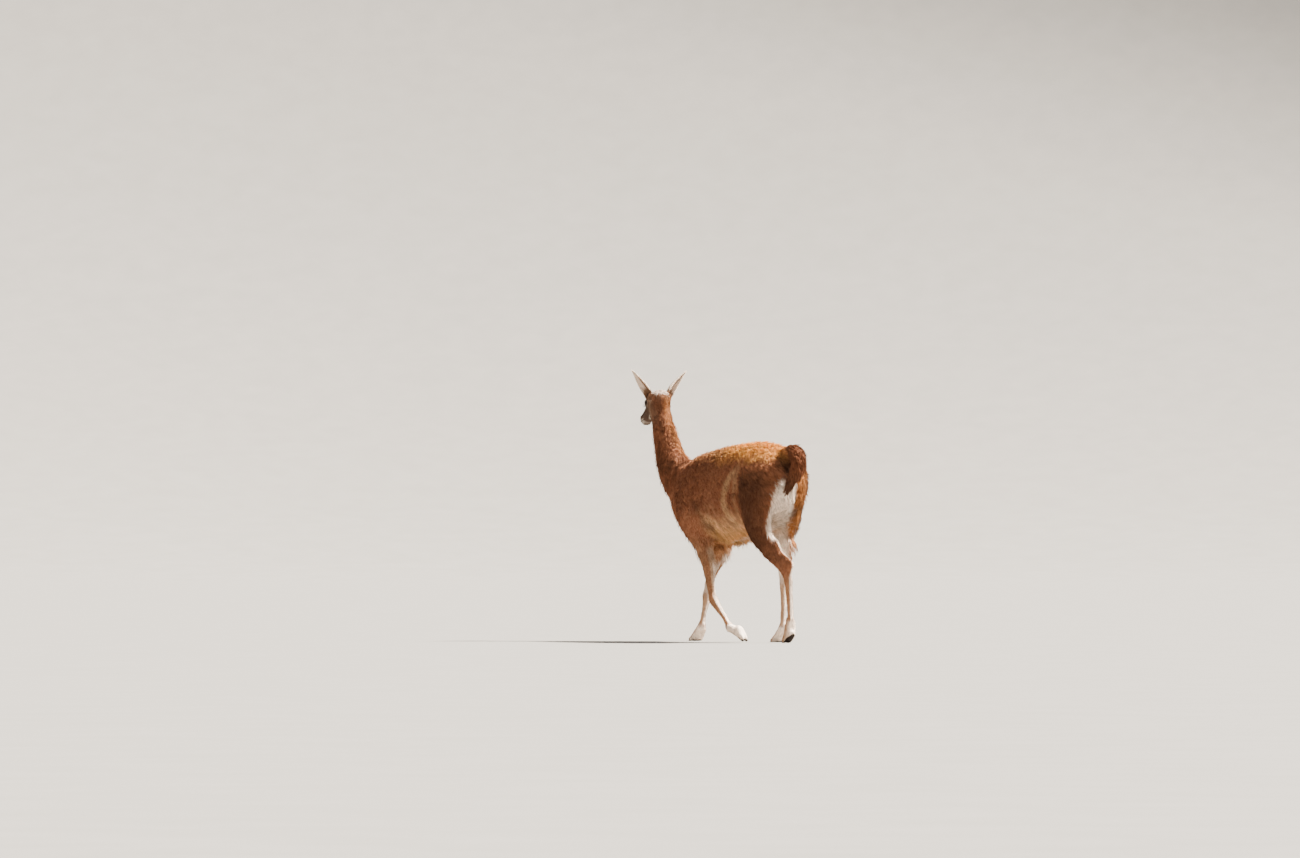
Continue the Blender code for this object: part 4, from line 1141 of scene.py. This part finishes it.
def tufts(name, roots, normals, lie, size, tone, patch, draw, rings, bend=0.0):
    """Many tufts in one mesh: each a flat tapered prism, bent along its lie."""
    length, width, rise, droop, pull = size
    bend = bend * np.ones((len(roots), 1))
    count = len(roots)
    turn = draw.normal(0, 0.55, count)
    across = np.cross(normals, lie)
    flat = across * np.cos(turn)[:, None] + normals * np.sin(turn)[:, None]
    thick = normals * np.cos(turn)[:, None] - across * np.sin(turn)[:, None]
    steps = np.append(np.linspace(0, 0.74, rings), 1.0)
    points = np.zeros((count, rings * 3 + 1, 3))
    alongs, patches = np.zeros((count, rings * 3 + 1)), np.zeros((count, rings * 3 + 1, 2))
    down = np.array([0, 0, -1.0])
    for ring, step in enumerate(steps):
        centre = roots + lie * (length * step)[:, None] + pull * step**1.6
        centre += normals * (rise * length * (2 * step - step**2) - ROOT_DEPTH * (1 - step) ** 2)[:, None]
        centre += down * (droop * length * step**2)[:, None] + bend * step**2
        half = width * 0.5 * (1.0 - 0.72 * step**1.5)
        if ring == rings:
            points[:, -1] = centre
            alongs[:, -1], patches[:, -1] = 1.0, (0.0, 1.0)
            break
        points[:, ring * 3] = centre - flat * half[:, None]
        points[:, ring * 3 + 1] = centre + flat * half[:, None]
        points[:, ring * 3 + 2] = centre + thick * (half * 0.62)[:, None]
        alongs[:, ring * 3:ring * 3 + 3] = step
        patches[:, ring * 3:ring * 3 + 3, 0] = (-0.5, 0.5, 0.0)
        patches[:, ring * 3:ring * 3 + 3, 1] = step
    points[:, :, 2] = np.maximum(points[:, :, 2], FLOOR_CLEARANCE)
    shape = tuft_shape(rings)
    stride = points.shape[1]
    faces = (shape[None] + (np.arange(count) * stride)[:, None, None]).reshape(-1, 3)
    mesh = bpy.data.meshes.new(name)
    mesh.vertices.add(count * stride)
    mesh.vertices.foreach_set("co", points.astype(np.float32).ravel())
    mesh.loops.add(len(faces) * 3)
    mesh.loops.foreach_set("vertex_index", faces.astype(np.int32).ravel())
    mesh.polygons.add(len(faces))
    mesh.polygons.foreach_set("loop_start", np.arange(len(faces), dtype=np.int32) * 3)
    mesh.update(calc_edges=True)
    mesh.shade_smooth()
    made = link(bpy.data.objects.new(name, mesh))
    colours_on(made, "tone", np.repeat(tone, stride, axis=0))
    floats_on(made, "along", alongs)
    floats_on(made, "tint", np.repeat(draw.random(count), stride))
    where = np.clip(patch[:, None, :] + (patches - (0, 0.5)) * PATCH, 0, 1).reshape(-1, 2)
    layer = mesh.uv_layers.new(name="OFBake")
    layer.data.foreach_set("uv", where[faces.ravel()].astype(np.float32).ravel())
    return made


def round_axis(points, heights):
    """The angle of each point round the middle of its own slice of a limb, from 0 to 1."""
    slices = 25
    edges = np.linspace(heights.min(), heights.max(), slices + 1)
    slot = np.clip(np.digitize(heights, edges) - 1, 0, slices - 1)
    size = np.bincount(slot, minlength=slices)
    filled = size > 0
    middles = ((edges[:-1] + edges[1:]) / 2)[filled]
    sums = [np.bincount(slot, weights=column, minlength=slices) for column in points.T]
    centre = [np.interp(heights, middles, total[filled] / size[filled]) for total in sums]
    return np.arctan2(points[:, 0] - centre[0], points[:, 1] - centre[1]) / math.tau + 0.5


def fitted(values, low=0.01, high=0.99):
    """The values stretched to fill the span from low to high."""
    return low + (high - low) * (values - values.min()) / max(np.ptp(values), 1e-6)


def unwrapped(name, points, normals):
    """Where each root lies on an unwrap of its own part of the skin, from 0 to 1 both ways."""
    x, y, z = points.T
    if "shoulder" in name or "flank" in name:
        across, up = fitted(y), fitted(np.arctan2(np.abs(x), z - 0.80))
    elif name == "coat_head":
        along, aside, above = head_frame(points).T
        across, up = fitted(np.arctan2(aside, above + 0.025)), fitted(along)
    elif name == "coat_tail":
        bend = points - TAIL_BEND
        turn = np.arctan2(-bend[:, 1], bend[:, 2])
        slices = np.column_stack([x, np.linalg.norm(bend[:, 1:], axis=1)])
        across, up = 0.01 + 0.98 * round_axis(slices, turn), fitted(turn)
    elif name == "coat_ears":
        along, rim, inside, _ = ear_place(points, normals)
        column = (inside > 0.5) + 2 * (head_frame(points)[:, 1] > 0)
        across, up = np.zeros(len(points)), fitted(along)
        for i in range(4):
            mine = column == i
            if mine.any():
                across[mine] = fitted(rim[mine], 0.25 * i + 0.01, 0.25 * i + 0.24)
    elif "neck" in name:
        across, up = 0.01 + 0.98 * round_axis(points[:, :2], z), fitted(z)
    else:
        across, up = np.zeros(len(points)), fitted(z)
        for i, mine in enumerate((x < 0, x >= 0)):
            across[mine] = 0.01 + 0.5 * i + 0.48 * round_axis(points[mine, :2], z[mine])
    return np.column_stack([across, up])


# Pieces of the coat: the parts that each covers, its side if it has one, and the name of its slot.
PIECES = {
    "coat_neck_low": (["neck"], 0, "coat"),
    "coat_neck_high": (["neck"], 0, "coat"),
    "coat_shoulder_left": (["torso"], 1, "coat"),
    "coat_shoulder_right": (["torso"], -1, "coat"),
    "coat_flank_left": (["torso"], 1, "coat"),
    "coat_flank_right": (["torso"], -1, "coat"),
    "coat_thighs": (["thigh"], 0, "coat"),
    "coat_tail": (["tail"], 0, "coat"),
    "coat_forelegs": (["foreleg", "forecannon", "forefoot"], 0, "leg_coat"),
    "coat_hindlegs": (["shank", "hindcannon", "hindfoot"], 0, "leg_coat"),
    "coat_head": (["head"], 0, "face_coat"),
    "coat_ears": (["ear"], 0, "ear_coat"),
}

# Where the trunk's coat is parted into front and rear pieces, and the neck's into a lower and an upper one.
TRUNK_MIDDLE = 0.13
NECK_MIDDLE = 1.01

# How many roots draw together into one lock, and the share of tufts that stray out of theirs.
LOCK_ROOTS = 14
STRAY_SHARE = 0.07


def coat_piece(name, surface, draw):
    """One piece of the coat: its roots, their hair's size, lie and colour, and the tufts."""
    kinds, side, slot = PIECES[name]
    chosen, shares, roots = [], [], []
    for part in kinds:
        mine = surface.kinds == KINDS.index(part)
        if side:
            mine &= surface.centres[:, 0] * side > 0
            mine &= (surface.centres[:, 1] < TRUNK_MIDDLE) == ("shoulder" in name)
        if "neck" in name:
            mine &= (surface.centres[:, 2] < NECK_MIDDLE) == ("low" in name)
        found = scattered(surface, np.flatnonzero(mine), COAT[part][0], draw)
        for store, values in zip((chosen, shares, roots), found):
            store.append(values)
    chosen, shares, roots = (np.concatenate(values) for values in (chosen, shares, roots))
    normals = unit(on_skin(surface.normals, surface, chosen, shares))
    lie = flat_on(on_skin(surface.lie, surface, chosen, shares), normals)
    weights = on_skin(surface.weights, surface, chosen, shares)
    weights /= weights.sum(axis=1, keepdims=True)
    size = weights @ np.array([COAT[part] for part in KINDS])
    keep = hair_keep(roots, normals, weights)
    roots, normals, lie, weights, size = (values[keep] for values in (roots, normals, lie, weights, size))
    length, width, rise, droop = longer(roots, normals, weights, *size.T[1:5])
    count = len(roots)
    sway = np.cross(normals, lie) * draw.normal(0, 0.13, count)[:, None]
    wave = (grain(roots, 26, 11) - 0.5)[:, None] * np.cross(normals, lie) * 0.32
    lie = flat_on(lie + sway + wave, normals)
    pull, lock = drawn_together(roots, LOCK_ROOTS, draw)
    pull -= normals * (pull * normals).sum(axis=1, keepdims=True)
    lock_length = draw.normal(1.0, 0.13, lock.max() + 1)[lock]
    stray = np.where(draw.random(count) < STRAY_SHARE, draw.uniform(1.25, 1.7, count), 1.0)
    length = length * np.clip(lock_length * draw.normal(1.0, 0.12, count), 0.6, 1.4) * stray**0.7
    rise = rise * np.clip(draw.normal(1.0, 0.25, count), 0.4, 1.6) * stray
    rise = np.minimum(rise, np.where(roots[:, 2] < 0.66, 0.030, 0.019) / length)
    tone = tone_of(roots + lie * (length * 0.25 * draw.random(count))[:, None], normals, weights)
    tone = tone * draw.uniform(0.74, 1.12, lock.max() + 1)[lock][:, None]
    rings = 3 if name == "coat_tail" else 2
    patch = unwrapped(name, roots, normals)
    bend = 0.0
    if name == "coat_tail":
        inward = TAIL_BEND - roots
        around = weights[:, KINDS.index("tail"), None] * fade(roots[:, 2:3], 0.80, 0.88)
        bend = around * inward * (0.5 * length**2 / np.maximum((inward**2).sum(axis=1), 0.05**2))[:, None]
    size = (length, width, rise, droop, pull * size[:, 5:6])
    made = tufts(name, roots, normals, lie, size, tone, patch, draw, rings, bend)
    return made


def hair_keep(roots, normals, weights):
    """False where no hair grows: the lids, the nostrils, the line of the mouth and the soles."""
    keep = np.ones(len(roots), bool)
    for side in (1, -1):
        keep &= eye_reach(roots, side)[0] > 1.26
    along, _, above = head_frame(roots).T
    part = parts_of(weights)
    mouth = (np.abs(over_mouth(along, above)) < 0.0018) & (along > 0.212)
    keep &= ~((part.head > 0.5) & ((nose_pad(roots) > 0.45) | mouth))
    sole = sole_facing(roots[:, 0], roots[:, 1], normals) > 0.7
    keep &= ~((part.forefoot + part.hindfoot > 0.5) & sole)
    return keep


def longer(roots, normals, weights, length, width, rise, droop):
    """The hair's size, longer on the flanks, brisket, elbows, nape and thighs, and shorter on the muzzle."""
    x, y, z = roots.T
    part = parts_of(weights)
    fringe = part.torso * fade(-z, -0.64, -0.54) * fade(y, -0.30, -0.15) * fade(np.abs(x), 0.03, 0.07)
    behind = (part.thigh + part.shank) * fade(normals[:, 1], 0.2, 0.8) * fade(z, 0.40, 0.50)
    shaggy = band(z, 0.530, 0.68, 0.040) * (x < 0)
    behind = behind * np.where(x < 0, 0.8 + 1.4 * shaggy, 0.8)
    brisket = part.torso * band(y, -0.16, -0.07, 0.03) * fade(-np.abs(x), -0.09, -0.06)
    brisket = brisket * fade(-z, -0.62, -0.56)
    along = head_frame(roots)[:, 0]
    nape = part.head * fade(-along, -0.06, 0.03)
    muzzle = part.head * fade(along, 0.10, 0.20)
    elbow = part.foreleg * band(z, 0.46, 0.56, 0.03) * fade(normals[:, 1], 0.3, 0.8)
    collar = part.neck * fade(normals[:, 1], 0.2, 0.8) * fade(z, 1.15, 1.24)
    length = length + 0.015 * fringe + 0.016 * behind + 0.006 * nape - 0.0040 * muzzle + 0.014 * elbow
    length = length + 0.034 * brisket + 0.004 * collar
    width = width + 0.0008 * fringe + 0.0006 * nape
    droop = droop + 0.55 * fringe + 0.25 * elbow + 0.10 * behind + 0.75 * brisket
    rise = rise + 0.35 * elbow + 0.40 * behind * shaggy + 0.22 * collar
    return length, width, rise, droop


WHITE = (1.0, 1.0, 1.0)


def set_inputs(made, values):
    for key, value in values.items():
        made.inputs[key.replace("_", " ")].default_value = value


def shader_node(tree, type_name, **values):
    made = tree.nodes.new(type_name)
    set_inputs(made, values)
    return made


def noise(tree, place, **values):
    made = shader_node(tree, "ShaderNodeTexNoise", **values)
    tree.links.new(place, made.inputs["Vector"])
    return made.outputs["Fac"]


def bumps(tree, height, **values):
    made = shader_node(tree, "ShaderNodeBump", **values)
    tree.links.new(height, made.inputs["Height"])
    return made


def attribute(tree, name, output):
    made = tree.nodes.new("ShaderNodeAttribute")
    made.attribute_name = name
    return made.outputs[output]


def object_place(tree):
    return tree.nodes.new("ShaderNodeTexCoord").outputs["Object"]


def multiplied(tree, first, second):
    mix = tree.nodes.new("ShaderNodeMix")
    mix.data_type = "RGBA"
    mix.blend_type = "MULTIPLY"
    mix.inputs["Factor"].default_value = 1.0
    tree.links.new(first, mix.inputs["A"])
    tree.links.new(second, mix.inputs["B"])
    return mix.outputs["Result"]


def ramp(tree, source, stops):
    """Colours that change with a value, from stops of a place and a colour."""
    made = tree.nodes.new("ShaderNodeValToRGB")
    while len(made.color_ramp.elements) < len(stops):
        made.color_ramp.elements.new(0.5)
    for element, (place, colour) in zip(made.color_ramp.elements, stops):
        element.position = place
        element.color = (*colour, 1.0)
    tree.links.new(source, made.inputs["Fac"])
    return made.outputs["Color"]


def material(name, **values):
    made = bpy.data.materials.new(name)
    made.use_nodes = True
    shader = made.node_tree.nodes["Principled BSDF"]
    set_inputs(shader, values)
    return made, made.node_tree, shader


def coat_colour(tree):
    """Tone of the root, varied in broad and fine patches, from tuft to tuft, and from root to tip."""
    place = object_place(tree)
    colour = attribute(tree, "tone", "Color")
    broad = noise(tree, place, Scale=9.0, Detail=3.0, Roughness=0.6)
    fine = noise(tree, place, Scale=120.0, Detail=2.0)
    tint, along = (attribute(tree, name, "Fac") for name in ("tint", "along"))
    for source, stops in (
            (broad, [(0.30, (0.84, 0.81, 0.78)), (0.70, WHITE)]),
            (fine, [(0.3, (0.86, 0.85, 0.84)), (0.7, WHITE)]),
            (tint, [(0.0, (0.64, 0.60, 0.56)), (0.4, (0.86, 0.84, 0.82)), (1.0, WHITE)]),
            (along, [(0.0, (0.44, 0.39, 0.35)), (0.5, (0.88, 0.86, 0.84)), (1.0, WHITE)])):
        colour = multiplied(tree, colour, ramp(tree, source, stops))
    return colour


def coat_material():
    made, tree, shader = material("coat", Roughness=0.75, Specular_IOR_Level=0.02)
    tree.links.new(coat_colour(tree), shader.inputs["Base Color"])
    return made


def skin_material():
    """The coat's colours, with fine combed hairs and pores as bump, and glossier where the skin is bare."""
    made, tree, shader = material("skin", Specular_IOR_Level=0.08)
    tree.links.new(coat_colour(tree), shader.inputs["Base Color"])
    hairs = noise(tree, attribute(tree, "combed", "Vector"), Scale=620.0, Detail=3.0, Roughness=0.6)
    pores = noise(tree, object_place(tree), Scale=900.0, Detail=2.0)
    bump = bumps(tree, hairs, Strength=0.55, Distance=0.0012)
    creases = bumps(tree, pores, Strength=0.25, Distance=0.0005)
    tree.links.new(bump.outputs["Normal"], creases.inputs["Normal"])
    tree.links.new(creases.outputs["Normal"], shader.inputs["Normal"])
    gloss = shader_node(tree, "ShaderNodeMapRange", To_Min=0.72, To_Max=0.48)
    tree.links.new(attribute(tree, "bare", "Fac"), gloss.inputs["Value"])
    tree.links.new(gloss.outputs["Result"], shader.inputs["Roughness"])
    return made


def horn_material():
    """Dark horn in fine level rings."""
    made, tree, shader = material("horn", Roughness=0.42)
    stretch = shader_node(tree, "ShaderNodeMapping", Scale=(60.0, 60.0, 380.0))
    tree.links.new(object_place(tree), stretch.inputs["Vector"])
    rings = noise(tree, stretch.outputs["Vector"], Scale=1.0, Detail=4.0, Roughness=0.65)
    stops = [(0.3, (0.018, 0.014, 0.011)), (0.55, (0.05, 0.038, 0.028)), (0.8, (0.13, 0.10, 0.075))]
    tree.links.new(ramp(tree, rings, stops), shader.inputs["Base Color"])
    bump = bumps(tree, rings, Strength=0.4, Distance=0.0006)
    tree.links.new(bump.outputs["Normal"], shader.inputs["Normal"])
    return made


IRIS_RADIUS = 0.0185
PUPIL_SIZE = (0.0088, 0.0046)


def eye_material(side):
    """Dark brown iris with a level slot of a pupil, under a clear wet coat."""
    centre, along, up, _ = eye_axes(side)
    made, tree, shader = material("eye_" + ("left" if side > 0 else "right"), Roughness=0.30,
                                  Specular_IOR_Level=0.05, Coat_Weight=0.10, Coat_Roughness=0.02)
    offset = tree.nodes.new("ShaderNodeVectorMath")
    offset.operation = "SUBTRACT"
    offset.inputs[1].default_value = centre
    tree.links.new(object_place(tree), offset.inputs[0])

    def measured(axis, scale):
        dot = tree.nodes.new("ShaderNodeVectorMath")
        dot.operation = "DOT_PRODUCT"
        dot.inputs[1].default_value = Vector(axis) / scale
        tree.links.new(offset.outputs["Vector"], dot.inputs[0])
        return dot.outputs["Value"]

    def round_one(wide, high):
        combine = tree.nodes.new("ShaderNodeCombineXYZ")
        tree.links.new(measured(along, wide), combine.inputs["X"])
        tree.links.new(measured(up, high), combine.inputs["Y"])
        length = tree.nodes.new("ShaderNodeVectorMath")
        length.operation = "LENGTH"
        tree.links.new(combine.outputs["Vector"], length.inputs[0])
        return length.outputs["Value"]

    iris = ramp(tree, round_one(IRIS_RADIUS, IRIS_RADIUS), [
        (0.25, (0.050, 0.024, 0.011)), (0.72, (0.026, 0.013, 0.007)), (0.84, (0.006, 0.004, 0.003)),
        (0.97, (0.045, 0.030, 0.024))])
    pupil = ramp(tree, round_one(*PUPIL_SIZE), [(0.80, (0.05, 0.05, 0.06)), (1.0, WHITE)])
    tree.links.new(multiplied(tree, iris, pupil), shader.inputs["Base Color"])
    return made


CORNEA_BULGE = 0.0011


def make_eye(side):
    """An eyeball with a bulge of clear cornea, in the place of its solid."""
    name = "left" if side > 0 else "right"
    centre, along, up, out = eye_axes(side)
    turn = Matrix((along, up, out)).transposed().to_4x4()
    made = new_object("eyeball_" + name, [], [])
    with edited(made) as mesh:
        bmesh.ops.create_uvsphere(mesh, u_segments=64, v_segments=40, radius=EYE_RADIUS - 0.0002)
        for vertex in mesh.verts:
            bulge = max(0.0, (vertex.co.normalized() @ Vector((0, 0, 1)) - 0.80) / 0.20)
            vertex.co += vertex.co.normalized() * (CORNEA_BULGE * bulge**1.2)
        mesh.transform(Matrix.Translation(centre) @ turn)
        bmesh.ops.recalc_face_normals(mesh, faces=mesh.faces)
    made.data.shade_smooth()
    made.data.materials.append(eye_material(side))
    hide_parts("eye_" + name)
    return made


def make_lashes(draw):
    """Dark lashes along the upper lids, with a few fine ones below."""
    roots, normals, lies, lengths = [], [], [], []
    for side in (1, -1):
        centre, along, up, out = (np.array(axis) for axis in eye_axes(side))
        rows = [(angle, 0.0165, 1.0) for angle in np.linspace(18, 165, 46)]
        rows += [(angle, 0.0080, -1.0) for angle in np.linspace(-150, -30, 18)]
        for angle, length, sign in rows:
            turn = math.radians(angle + draw.normal(0, 1.5))
            a, b = EYE_OPENING[0] * 1.02 * math.cos(turn), EYE_OPENING[1] * 1.04 * math.sin(turn)
            lift = math.sqrt(max((EYE_RADIUS + 0.0016) ** 2 - a * a - b * b, 0))
            roots.append(centre + along * a + up * b + out * lift)
            fan = 0.55 * math.cos(turn) + draw.normal(0, 0.05)
            lies.append(out * 0.95 + up * (0.30 * sign - 0.10) + along * fan)
            normals.append(up * sign)
            lengths.append(length * draw.uniform(0.75, 1.05))
    roots, lies, normals = np.array(roots), unit(np.array(lies)), np.array(normals)
    normals = flat_on(normals, lies)
    count = len(roots)
    width, rise, droop = (np.full(count, value) for value in (0.0007, -0.20, 0.0))
    size = (np.array(lengths), width, rise, droop, np.zeros((count, 3)))
    patch = np.stack([np.linspace(0.02, 0.98, count), np.full(count, 0.5)], axis=1)
    made = tufts("lashes", roots, normals, lies, size, np.tile(SOOT * 0.4, (count, 1)), patch, draw, 3)
    return made


def make_nail(name):
    """A toenail, smoother and finer than its solid, in the same place."""
    made = remeshed(joined_nodes(name + "_horn", [name]), NAIL_VOXEL)
    links = links_of(made)
    put_points(made, evened(points_of(made), links, 14))
    points = points_of(made) + normals_of(made) * 0.0005
    points[:, 2] = np.maximum(points[:, 2], 0)
    put_points(made, points)
    made.data.shade_smooth()
    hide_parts(name)
    return made


# The photograph: the camera stands behind the animal on its left, low and far off.
CAMERA_AZIMUTH = math.radians(145.0)
CAMERA_DISTANCE = 50.0
CAMERA_HEIGHT = 0.6
LENS = 257.5
AIM = (0.379, 1.142)


def place_camera():
    """Sets the camera, and returns the way back to it and the way to the right of the picture."""
    camera = link(bpy.data.objects.new("camera", bpy.data.cameras.new("camera")))
    back = Vector((math.sin(CAMERA_AZIMUTH), -math.cos(CAMERA_AZIMUTH), 0))
    right = Vector((math.cos(CAMERA_AZIMUTH), math.sin(CAMERA_AZIMUTH), 0))
    aim = right * -AIM[0] + Vector((0, 0, AIM[1]))
    camera.location = right * -AIM[0] + back * CAMERA_DISTANCE + Vector((0, 0, CAMERA_HEIGHT))
    camera.rotation_euler = (aim - camera.location).to_track_quat("-Z", "Y").to_euler()
    camera.data.lens = LENS
    camera.data.sensor_width = 36.0
    camera.data.clip_start, camera.data.clip_end = 0.5, 400.0
    bpy.context.scene.camera = camera
    return back, right


def place_lights(back, right):
    """Soft studio light, strongest from the right of the picture as the sun is in the photograph."""
    up = Vector((0, 0, 1))

    def sun(name, way, strength, softness, colour):
        light = bpy.data.lights.new(name, "SUN")
        light.energy = strength
        light.angle = math.radians(softness)
        light.color = colour
        made = link(bpy.data.objects.new(name, light))
        made.rotation_euler = way.to_track_quat("Z", "Y").to_euler()

    sun("key", right * 0.88 - back * 0.30 + up * 1.10, 40.0, 8.0, (1.0, 0.94, 0.85))
    sun("fill", back * 0.80 - right * 0.45 + up * 0.45, 0.75, 40.0, (0.94, 0.96, 1.0))
    world = bpy.data.worlds.new("studio")
    world.use_nodes = True
    world.node_tree.nodes["Background"].inputs["Color"].default_value = (0.90, 0.93, 0.97, 1)
    world.node_tree.nodes["Background"].inputs["Strength"].default_value = 0.58
    bpy.context.scene.world = world


FLOOR_RADIUS, SWEEP_RADIUS = 58.0, 26.0
FLOOR_SIDES, SWEEP_STEPS = 96, 12


def make_floor():
    """A wide pale floor that rises smoothly into a backdrop all round, far from the animal."""
    rows = [(FLOOR_RADIUS, 0.0)]
    for i in range(1, SWEEP_STEPS + 1):
        turn = 0.5 * math.pi * i / SWEEP_STEPS
        rows.append((FLOOR_RADIUS + SWEEP_RADIUS * math.sin(turn), SWEEP_RADIUS * (1 - math.cos(turn))))
    turns = [math.tau * i / FLOOR_SIDES for i in range(FLOOR_SIDES)]
    points = [(0.0, 0.0, 0.0)]
    for radius, height in rows:
        points += [(radius * math.cos(turn), radius * math.sin(turn), height) for turn in turns]
    faces = [(0, 1 + i, 1 + (i + 1) % FLOOR_SIDES) for i in range(FLOOR_SIDES)]
    floor = new_object("floor", points, faces)
    with edited(floor) as mesh:
        mesh.verts.ensure_lookup_table()
        for start in range(1, 1 + FLOOR_SIDES * SWEEP_STEPS, FLOOR_SIDES):
            for i in range(FLOOR_SIDES):
                a, b = start + i, start + (i + 1) % FLOOR_SIDES
                corners = (a + FLOOR_SIDES, b + FLOOR_SIDES, b, a)
                mesh.faces.new([mesh.verts[k] for k in corners])
        bmesh.ops.recalc_face_normals(mesh, faces=mesh.faces)
    floor.data.shade_smooth()
    made, tree, shader = material("pale_floor", Roughness=0.9)
    speckle = noise(tree, object_place(tree), Scale=3.0, Detail=6.0)
    colour = ramp(tree, speckle, [(0.3, (0.186, 0.173, 0.156)), (0.7, (0.202, 0.188, 0.170))])
    tree.links.new(colour, shader.inputs["Base Color"])
    floor.data.materials.append(made)


def main():
    draw = np.random.default_rng(11)
    skin = make_skin()
    surface = Surface(skin)
    dress_skin(skin, surface)
    skin.data.materials.clear()
    skin.data.materials.append(skin_material())
    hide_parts(*FLESH)
    pieces = [skin]
    coat = coat_material()
    for name in PIECES:
        made = coat_piece(name, surface, draw)
        made.data.materials.append(coat)
        pieces.append(made)
    lashes = make_lashes(draw)
    lashes.data.materials.append(coat)
    pieces += [lashes] + [make_eye(side) for side in (1, -1)]
    horn = horn_material()
    for name in NAILS:
        nail = make_nail(name)
        nail.data.materials.append(horn)
        pieces.append(nail)
    for made in pieces:
        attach(made, "root")
    make_floor()
    back, right = place_camera()
    place_lights(back, right)


main()
